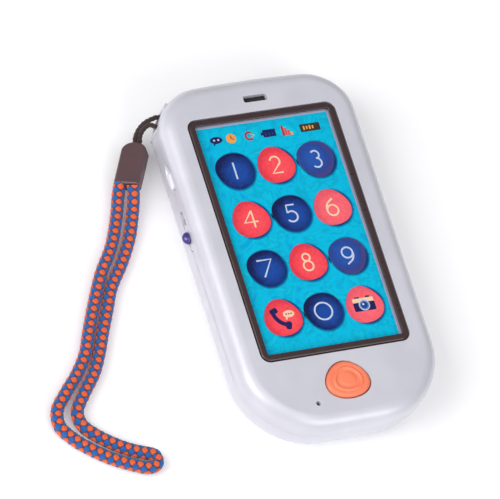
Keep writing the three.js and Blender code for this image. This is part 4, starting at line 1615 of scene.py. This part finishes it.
@dataclass
class Keypad:
    """The twelve printed pebble keys, in four rows of three."""

    finishes: Finishes
    pitch: Spot = (15.0, 18.3)
    first: Spot = (-14.8, 25.3)
    # The right column takes the glare inks: painted window reflection over those keys.
    layout: tuple[tuple[str, Ink], ...] = (
        ("1", Ink.NAVY), ("2", Ink.CORAL), ("3", Ink.DUSK),
        ("4", Ink.CORAL), ("5", Ink.NAVY), ("6", Ink.ROSE),
        ("7", Ink.NAVY), ("8", Ink.CORAL), ("9", Ink.DUSK),
        ("call", Ink.CORAL), ("0", Ink.NAVY), ("camera", Ink.ROSE),
    )

    def build(self) -> None:
        """Prints every key."""
        low, high = box_mm("printed_screen_sheet")
        screen_y = (low.y + high.y) / 2
        for i, (label, ink) in enumerate(self.layout):
            x = self.first[0] + i % 3 * self.pitch[0]
            y = screen_y + self.first[1] - i // 3 * self.pitch[1]
            KeyPrint(self.finishes, label, ink, (x, y), high.z).build()


@dataclass
class StatusRow:
    """The six small printed signs along the top of the screen."""

    finishes: Finishes
    height: float = 37.2

    def build(self) -> None:
        """Prints the signs from left to right."""
        low, high = box_mm("printed_screen_sheet")
        y = (low.y + high.y) / 2 + self.height
        signs = (self.bubble, self.clock, self.moon, self.cell, self.bars, self.tag)
        for sign, x in zip(signs, (-18.0, -12.5, -6.1, 1.2, 8.1, 16.7)):
            sign(KeyPrint(self.finishes, "sign", Ink.NAVY, (x, y), high.z - 0.05))

    def put(self, piece: Piece, ink: Material) -> None:
        """Finishes one printed shape."""
        piece.finish(Body.CASE, "screen_print", ink)

    def bubble(self, art: KeyPrint) -> None:
        """Prints an oval speech bubble with two pale dots."""
        oval = art.dot("sign_bubble", 0, 0.1, 2.25, 0, 0.58)
        tail = art.stroke("tail", [(-0.8, -0.8), (-1.2, -1.7)], 0.6, art.ground + 0.06)
        self.put(oval.gather(tail), self.finishes.deep_ink)
        dots = [art.dot("sign_bubble_dots", x, 0.15, 0.36, 2) for x in (-0.75, 0.75)]
        self.put(dots[0].gather(dots[1]), self.finishes.pale_ink)

    def clock(self, art: KeyPrint) -> None:
        """Prints a round clock with two hands."""
        self.put(art.dot("sign_clock", 0, 0, 1.8, 0), self.finishes.amber_ink)
        hands = art.stroke("sign_clock_hands", [(0, 1.1), (0, 0), (0.8, -0.45)], 0.4, art.ground + 0.09)
        self.put(hands, self.finishes.brick_ink)

    def moon(self, art: KeyPrint) -> None:
        """Prints a crescent and three small stars."""
        crescent = art.stroke("sign_moon", arc(0.3, 0, 1.35, 50, 310), 0.75, art.ground + 0.06)
        self.put(crescent, self.finishes.brick_ink)
        stars = [art.dot("sign_stars", x, y, 0.28, 0) for x, y in ((1.0, 0.7), (1.9, 0.1), (1.1, -0.6))]
        self.put(stars[0].gather(*stars[1:]), self.finishes.amber_ink)

    def cell(self, art: KeyPrint) -> None:
        """Prints a battery sign with its nub to the left."""
        body = art.plate("sign_battery", 0.35, 0, 4.7, 2.8, 0.3, 0)
        self.put(body.gather(art.plate("nub", -2.35, 0, 0.8, 1.1, 0.15, 0)), self.finishes.deep_ink)
        bars = [art.plate("sign_battery_bars", -0.9 + 1.25 * i, 0, 0.5, 1.5, 0.1, 2) for i in range(3)]
        self.put(bars[0].gather(*bars[1:]), self.finishes.navy_ink)

    def bars(self, art: KeyPrint) -> None:
        """Prints four bars that fall to the right."""
        set_of = self.finishes
        for i, ink in enumerate((set_of.brick_ink, set_of.flame_ink, set_of.flame_ink, set_of.amber_ink)):
            tall = 3.7 - 0.85 * i
            self.put(art.plate(f"sign_bar_{i + 1}", -1.5 + i, tall / 2 - 1.8, 0.85, tall, 0.12, 0), ink)

    def tag(self, art: KeyPrint) -> None:
        """Prints a dark tag with plain pale strokes."""
        self.put(art.plate("sign_tag", 0, 0, 7.4, 2.9, 0.3, 0), self.finishes.umber_ink)
        tall = (1.5, 1.15, 1.5, 1.15)
        marks = [art.plate("sign_tag_marks", -2.3 + 1.1 * i, 0, 0.6, h, 0.1, 2) for i, h in enumerate(tall)]
        self.put(marks[0].gather(*marks[1:]), self.finishes.amber_ink)


# ---------------------------------------------------------------- controls


@dataclass
class HomeButton:
    """The orange pebble button with its raised ring."""

    finishes: Finishes
    y: float = -49.3
    width: float = 15.4
    taper: float = 0.18
    flange: float = 0.9
    rim: float = 1.0
    steps: tuple[Spot, ...] = (
        (0.985, 0.35), (0.96, 0.3), (0.925, 0.2), (0.885, 0.11), (0.85, 0.04), (0.78, 0.0), (0.735, -0.06),
        (0.71, -0.02), (0.69, 0.08), (0.665, 0.15), (0.635, 0.07), (0.6, 0.01), (0.565, -0.07), (0.54, -0.16),
        (0.51, -0.08), (0.47, 0.0), (0.4, 0.0), (0.365, 0.05), (0.34, 0.1), (0.31, 0.05), (0.27, 0.02),
        (0.18, 0.01), (0.08, 0.0),
    )

    def __post_init__(self) -> None:
        """Takes the button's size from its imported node."""
        self.low, self.high = box_mm("home_button")
        self.height = self.high.y - self.low.y - 2 * self.flange

    def outline(self, name: str, margin: float, low: float, high: float) -> Piece:
        """Raises the pebble's outline, grown by a margin, between two heights."""
        half_h = self.height / 2 + margin
        half_w = self.width / 2 + margin

        def edge(turn: float) -> Spot:
            """Gives the outline, narrower towards the top."""
            x = half_w * math.cos(turn) * (1 - self.taper * math.sin(turn))
            return (x, self.y + half_h * math.sin(turn))

        return Piece.disc(name, edge, low, high, 72)

    def build(self) -> None:
        """Shapes the button: flange, rounded cap, a raised ring and a middle disc."""
        shoulder = self.high.z - self.rim
        cap = self.outline("home_key_cap", 0.0, self.low.z, shoulder)
        with cap.editing():
            cap.pick(Pick.FACE, lambda f: f.normal.z > 0.99 and f.calc_center_median().z > shoulder - 0.01)
            last = 1.0
            for share, rise in self.steps:
                bpy.ops.mesh.extrude_region_move(TRANSFORM_OT_translate={"value": (0, 0, rise)})
                scale = share / last
                bpy.ops.transform.resize(value=(scale, scale, 1), center_override=(0, self.y, 0))
                last = share
        cap.gather(self.outline("home_key_flange", self.flange, self.low.z, self.low.z + 0.9))
        cap.finish(Body.HOME, "button_orange", self.finishes.orange, stands_for=["home_button"], smooth=50)


@dataclass
class SideControls:
    """The white volume rocker and the blue slide switch on the left side."""

    finishes: Finishes
    side: float
    side_z: float = 12.9
    pill: Spot = (6.0, 2.6)
    cover: Spot = (9.5, 2.4)

    def rocker(self) -> None:
        """Shapes the rocker: a pill with a crowned face and two prongs behind it."""
        low, high = box_mm("volume_rocker")
        y = (low.y + high.y) / 2
        pill = Piece.slab("volume_key", (0, 0), self.pill[1], self.pill[0], 1.28, 0.0, 3.3, 12)
        pill.round_edges(level(0.0, 60.0), 0.8, 6)
        pill.gather(
            *[Piece.block("prong", (-1.0, start, 3.2), (1.0, start + 1.4, 4.4)) for start in (-2.9, 1.5)])
        pill.set_by(on_side(low.x, y, self.side_z))
        pill.finish(Body.ROCKER, "rocker_white", self.finishes.white, stands_for=["volume_rocker"])

    def knob(self) -> None:
        """Shapes the knob: a glossy bead on a neck, with a shoe inside the wall."""
        low, high = box_mm("slide_switch_knob")
        y = (low.y + high.y) / 2
        root, z = self.side - GAP, self.side_z
        bead = Piece.ball("power_knob", (root, y, z), (root - low.x, 2.25, 1.6))
        with bead.editing():
            bpy.ops.mesh.select_all(action="SELECT")
            bpy.ops.mesh.bisect(plane_co=(root, 0, 0), plane_no=(1, 0, 0), clear_outer=True, use_fill=True)
        bead.gather(
            Piece.block("neck", (root - 0.1, y - 1.6, z - 0.7), (self.side + 2.5, y + 1.6, z + 0.7)),
            Piece.block("shoe", (self.side + 2.3, y - 4, z - 1.7), (self.side + 3.2, y + 4, z + 1.7)),
        )
        bead.finish(Body.SLIDER, "knob_navy", self.finishes.navy, stands_for=["slide_switch_knob"])
        strip = Piece.slab("slot_cover", (0, 0), self.cover[1], self.cover[0], 1.1, 0.1, 0.45)
        strip.round_edges(level(0.1, 60.0), 0.1, 2)
        strip.set_by(on_side(self.side, y, z))
        strip.finish(Body.SLIDER, "pearl_case", self.finishes.pearl)

    def build(self) -> None:
        """Shapes the rocker and the knob."""
        self.rocker()
        self.knob()


# ---------------------------------------------------------------- inside


@dataclass
class BatteryBay:
    """Three cells with their spring and flat contacts."""

    finishes: Finishes
    count: int = 3
    nub: float = 0.8

    def cell(self, number: int) -> None:
        """Shapes one cell: a crimped can with a raised positive end."""
        low, high = box_mm(f"battery_{number}")
        middle = (low + high) / 2
        top = high.y - self.nub
        centre = (middle.x, (low.y + top) / 2, middle.z)
        can = Piece.rod(f"cell_{number}", centre, (high.x - low.x) / 2, top - low.y, Axis.Y, 48)
        can.round_edges(sharp_edges(60), 0.45, 4)
        centre = (middle.x, (top + high.y) / 2 - 0.1, middle.z)
        nub = Piece.rod("nub", centre, 1.9, self.nub + 0.2, Axis.Y, 32)
        can.gather(nub.round_edges(sharp_edges(60), 0.25, 3))
        wrap = CellWrap(f"cell_wrap_{number}", low.y, top).material()
        can.finish(Body.CASE, "battery_wrap", wrap, stands_for=[f"battery_{number}"])

    def spring(self, number: int) -> None:
        """Winds one conical spring on its contact plate."""
        low, high = box_mm(f"spring_contact_{number}")
        middle = (low + high) / 2
        plate = Piece.block(f"coil_contact_{number}", (middle.x - 4, low.y, middle.z - 4),
                            (middle.x + 4, low.y + 0.5, middle.z + 4))
        plate.round_edges(sharp_edges(60), 0.15, 2)
        turns, per_turn = 3.5, 28
        reach = high.y - low.y - 1.2
        line = []
        for i in range(int(turns * per_turn) + 1):
            share = i / (turns * per_turn)
            turn = i / per_turn * 2 * math.pi
            radius = 3.4 - 1.4 * share
            line.append(Vector((middle.x + radius * math.cos(turn), low.y + 0.7 + share * reach,
                                middle.z + radius * math.sin(turn))))
        plate.gather(Sweep(line, 0.32, 10).piece("coil"))
        plate.finish(Body.CASE, "plated_steel", self.finishes.steel, stands_for=[f"spring_contact_{number}"])

    def build(self) -> None:
        """Fills the bay."""
        for number in range(1, self.count + 1):
            self.cell(number)
            self.spring(number)


@dataclass
class Fasteners:
    """Screws with crowned cross-recess heads."""

    finishes: Finishes
    slot: float = 0.28

    def screw(self, node: str, name: str, body: Body, head_thick: float, shaft: float) -> None:
        """Shapes one screw whose head faces down.

        Args:
            node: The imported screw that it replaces.
            name: Name of the piece.
            body: Body that it rides on.
            head_thick: Thickness of the head.
            shaft: Radius of the shaft.
        """
        low, high = box_mm(node)
        x, y = (low.x + high.x) / 2, (low.y + high.y) / 2
        radius = (high.x - low.x) / 2
        head = Piece.post(name, x, y, radius, low.z, low.z + head_thick, 40)
        head.round_edges(level(low.z, 60.0), min(0.5, head_thick * 0.6), 4)
        for wide, tall in ((radius * 0.6, self.slot), (self.slot, radius * 0.6)):
            corners = ((x - wide, y - tall, low.z - 1), (x + wide, y + tall, low.z + 0.65))
            head.cut(Piece.block("recess", *corners))
        head.gather(Piece.post("shaft", x, y, shaft, low.z + head_thick - 0.1, high.z, 20))
        head.finish(body, "plated_steel", self.finishes.steel, stands_for=[node])

    def build(self) -> None:
        """Shapes the case screws and the door's screw."""
        for number in range(1, 5):
            self.screw(f"case_screw_{number}", f"back_screw_{number}", Body.CASE, 1.5, 1.0)
        self.screw("door_screw", "door_fastener", Body.DOOR, 1.0, 1.0)


@dataclass
class InnerParts:
    """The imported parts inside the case, which keep their shape and get their finishes."""

    finishes: Finishes

    def build(self) -> None:
        """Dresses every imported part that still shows."""
        dress = {
            self.finishes.film: ["touch_panel"],
            self.finishes.milky: ["light_guide"],
            self.finishes.cloth: ["earpiece_baffle"],
            self.finishes.black: ["home_switch", "volume_switch_down", "volume_switch_up", "capacitor",
                                  "speaker_frame"],
            self.finishes.steel: ["slide_switch_body", "microphone", "speaker_magnet", "strap_bar",
                                  "board_screw_1", "board_screw_2",
                                  *[f"flat_contact_{i}" for i in (1, 2, 3)]],
            self.finishes.board: ["circuit_board"],
            self.finishes.epoxy: ["sound_chip"],
            self.finishes.led: [f"led_{i}" for i in (1, 2, 3)],
            self.finishes.paper: ["speaker_cone"],
            self.finishes.red_wire: ["speaker_wire_red", "battery_wire_red"],
            self.finishes.black_wire: ["speaker_wire_black", "battery_wire_black"],
        }
        for material, nodes in dress.items():
            for node in nodes:
                slots = frame["nodes"][node].data.materials
                slots.clear()
                slots.append(material)
                LOG.info("dressed %s", node)


# ---------------------------------------------------------------- wrist strap

TIE_ROUTE: tuple[Point, ...] = (
    (-40.4, 52.9, 4.3), (-39.7, 55.1, 4.9), (-38.4, 57.0, 6.6), (-36.6, 58.1, 8.8), (-34.6, 58.3, 10.6),
    (-32.8, 58.4, 11.3), (-30.5, 57.7, 11.3), (-29.3, 56.4, 11.3), (-29.4, 54.7, 11.3), (-30.8, 53.5, 11.3),
    (-32.4, 53.7, 11.3), (-34.0, 55.0, 11.1), (-35.7, 56.7, 9.8), (-37.4, 56.2, 8.0), (-38.4, 54.9, 6.1),
    (-38.9, 53.0, 5.2), (-39.3, 51.9, 4.9),
)
BRAID_ROUTE: tuple[Point, ...] = (
    (-50.6, 37.8, 3.8), (-51.7, 35.0, 3.1), (-53.4, 30.0, 2.5), (-58.9, 18.3, 2.3), (-65.4, 9.0, 2.3),
    (-71.2, -1.5, 2.3), (-76.4, -12.0, 2.3), (-79.3, -18.2, 2.3), (-84.2, -24.9, 2.3),
    (-90.4, -31.3, 2.3), (-94.9, -36.8, 2.3), (-95.5, -42.3, 2.3), (-92.2, -47.3, 2.3),
    (-87.4, -51.8, 2.3), (-81.0, -56.4, 2.3), (-74.7, -59.6, 2.3), (-69.4, -61.5, 2.3),
    (-66.4, -60.6, 2.3), (-66.5, -57.6, 2.3), (-69.4, -56.2, 2.3), (-73.2, -54.7, 2.3),
    (-78.2, -51.9, 2.3), (-84.3, -47.2, 2.3), (-87.9, -42.9, 2.3), (-88.2, -38.3, 2.3),
    (-84.2, -32.5, 2.3), (-78.4, -25.6, 2.3), (-74.3, -18.5, 2.3), (-71.5, -12.6, 2.3),
    (-67.6, -4.9, 2.3), (-63.4, 3.4, 2.3), (-57.2, 11.6, 2.3), (-51.6, 20.6, 2.4),
    (-48.2, 29.0, 3.3), (-47.2, 32.6, 4.5), (-46.7, 35.5, 5.7),
)


@dataclass
class WristStrap:
    """The tie cord round the case's bar, the clamp and the two-colour braid."""

    finishes: Finishes
    braid_diameter: float = 4.5
    tie_diameter: float = 1.6
    columns: int = 8
    braid_pitch: float = 2.8
    ply_pitch: float = 4.6
    tuck: float = 1.8
    clamp_centre: Point = (-44.1, 44.8, 4.9)
    clamp_heading: float = 61.3
    clamp_roll: float = -30.0
    clamp_size: Point = (16.8, 8.8, 5.0)
    clamp_arch: float = 3.6

    def clamp(self) -> bpy.types.Object:
        """Shapes the clamp: a flat bar with one arched end and rounded edges."""
        length, width, thick = self.clamp_size
        low, high = -thick / 2, thick / 2
        bar = Piece.slab("cord_clamp", (0, 0), length, width, 0.9, low, high, 4)
        spring = length / 2 - self.clamp_arch
        arch = Piece.disc(
            "arch_tool", lambda t: (spring + self.clamp_arch * math.cos(t), (width / 2 + 0.02) * math.sin(t)),
            low - 1, high + 1, 96)
        arch.fuse(Piece.block("arch_body", (-length, -width, low - 1), (spring, width, high + 1)))
        bar.boolean("INTERSECT", arch)
        bar.round_edges(level(high, 60.0), 1.0, 5)
        bar.round_edges(level(low, 60.0), 0.8, 4)
        heading = Matrix.Rotation(math.radians(self.clamp_heading), 4, "Z")
        roll = Matrix.Rotation(math.radians(self.clamp_roll), 4, "X")
        bar.set_by(Matrix.Translation(self.clamp_centre) @ heading @ roll)
        return bar.finish(Body.CASE, "clamp_plum", self.finishes.clamp, stands_for=["strap_clamp"])

    def strand_relief(self, turn: float, along: float) -> float:
        """Gives the braid's height: each strand is a pad that dips where it goes under its neighbour."""
        first, second = self.strands(turn, along)
        pad = abs(math.sin(math.pi * first) * math.sin(math.pi * second)) ** 0.5
        return 0.34 * (pad - 0.86)

    def strands(self, turn: float, along: float) -> Spot:
        """Gives the braid's chart, whose whole numbers part the strands."""
        ahead = 2 * along / self.braid_pitch
        return (self.columns * turn + ahead) / 2, (self.columns * turn - ahead) / 2

    def ply_relief(self, turn: float, along: float) -> float:
        """Gives the tie cord's height: three plies twisted together."""
        return 0.2 * (abs(math.cos(1.5 * 2 * math.pi * (turn - along / self.ply_pitch))) - 0.6)

    def plies(self, turn: float, along: float) -> Spot:
        """Gives the tie cord's chart, which follows its plies."""
        return 3 * turn - 3 * along / self.ply_pitch, along / 12

    def into_clamp(self, route: Sequence[Point]) -> list[Point]:
        """Carries both ends of a route on, straight into the clamp."""
        knots = [Vector(spot) for spot in route]
        first = knots[0] + (knots[0] - knots[1]).normalized() * self.tuck
        last = knots[-1] + (knots[-1] - knots[-2]).normalized() * self.tuck
        return [tuple(first), *route, tuple(last)]

    def build(self) -> None:
        clamp = self.clamp()
        braid_line = smooth_route(self.into_clamp(BRAID_ROUTE), 0.24)
        braid = Sweep(braid_line, self.braid_diameter / 2, 40, self.strand_relief, self.strands)
        braid = braid.piece("braided_cord").finish(
            Body.CASE, "braid_orange_blue", self.finishes.braid, stands_for=["wrist_cord"], smooth=75,
            weighted=False)
        tie_line = smooth_route(TIE_ROUTE, 0.2)
        tie = Sweep(tie_line, self.tie_diameter / 2, 24, self.ply_relief, self.plies)
        tie = tie.piece("twisted_tie").finish(
            Body.CASE, "tie_cord_dark", self.finishes.tie, stands_for=["tie_cord"], smooth=75, weighted=False)


# ---------------------------------------------------------------- assembly


def main() -> None:
    """Builds the phone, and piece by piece."""
    logging.basicConfig(level=logging.INFO, format="%(message)s")
    Studio().build()
    finishes = Finishes()
    WristStrap(finishes).build()
    case = Case(finishes)
    case.build()
    Screen(finishes).build()
    Keypad(finishes).build()
    StatusRow(finishes).build()
    HomeButton(finishes).build()
    SideControls(finishes, case.side).build()
    BatteryBay(finishes).build()
    Fasteners(finishes).build()
    InnerParts(finishes).build()


if __name__ == "__main__":
    main()
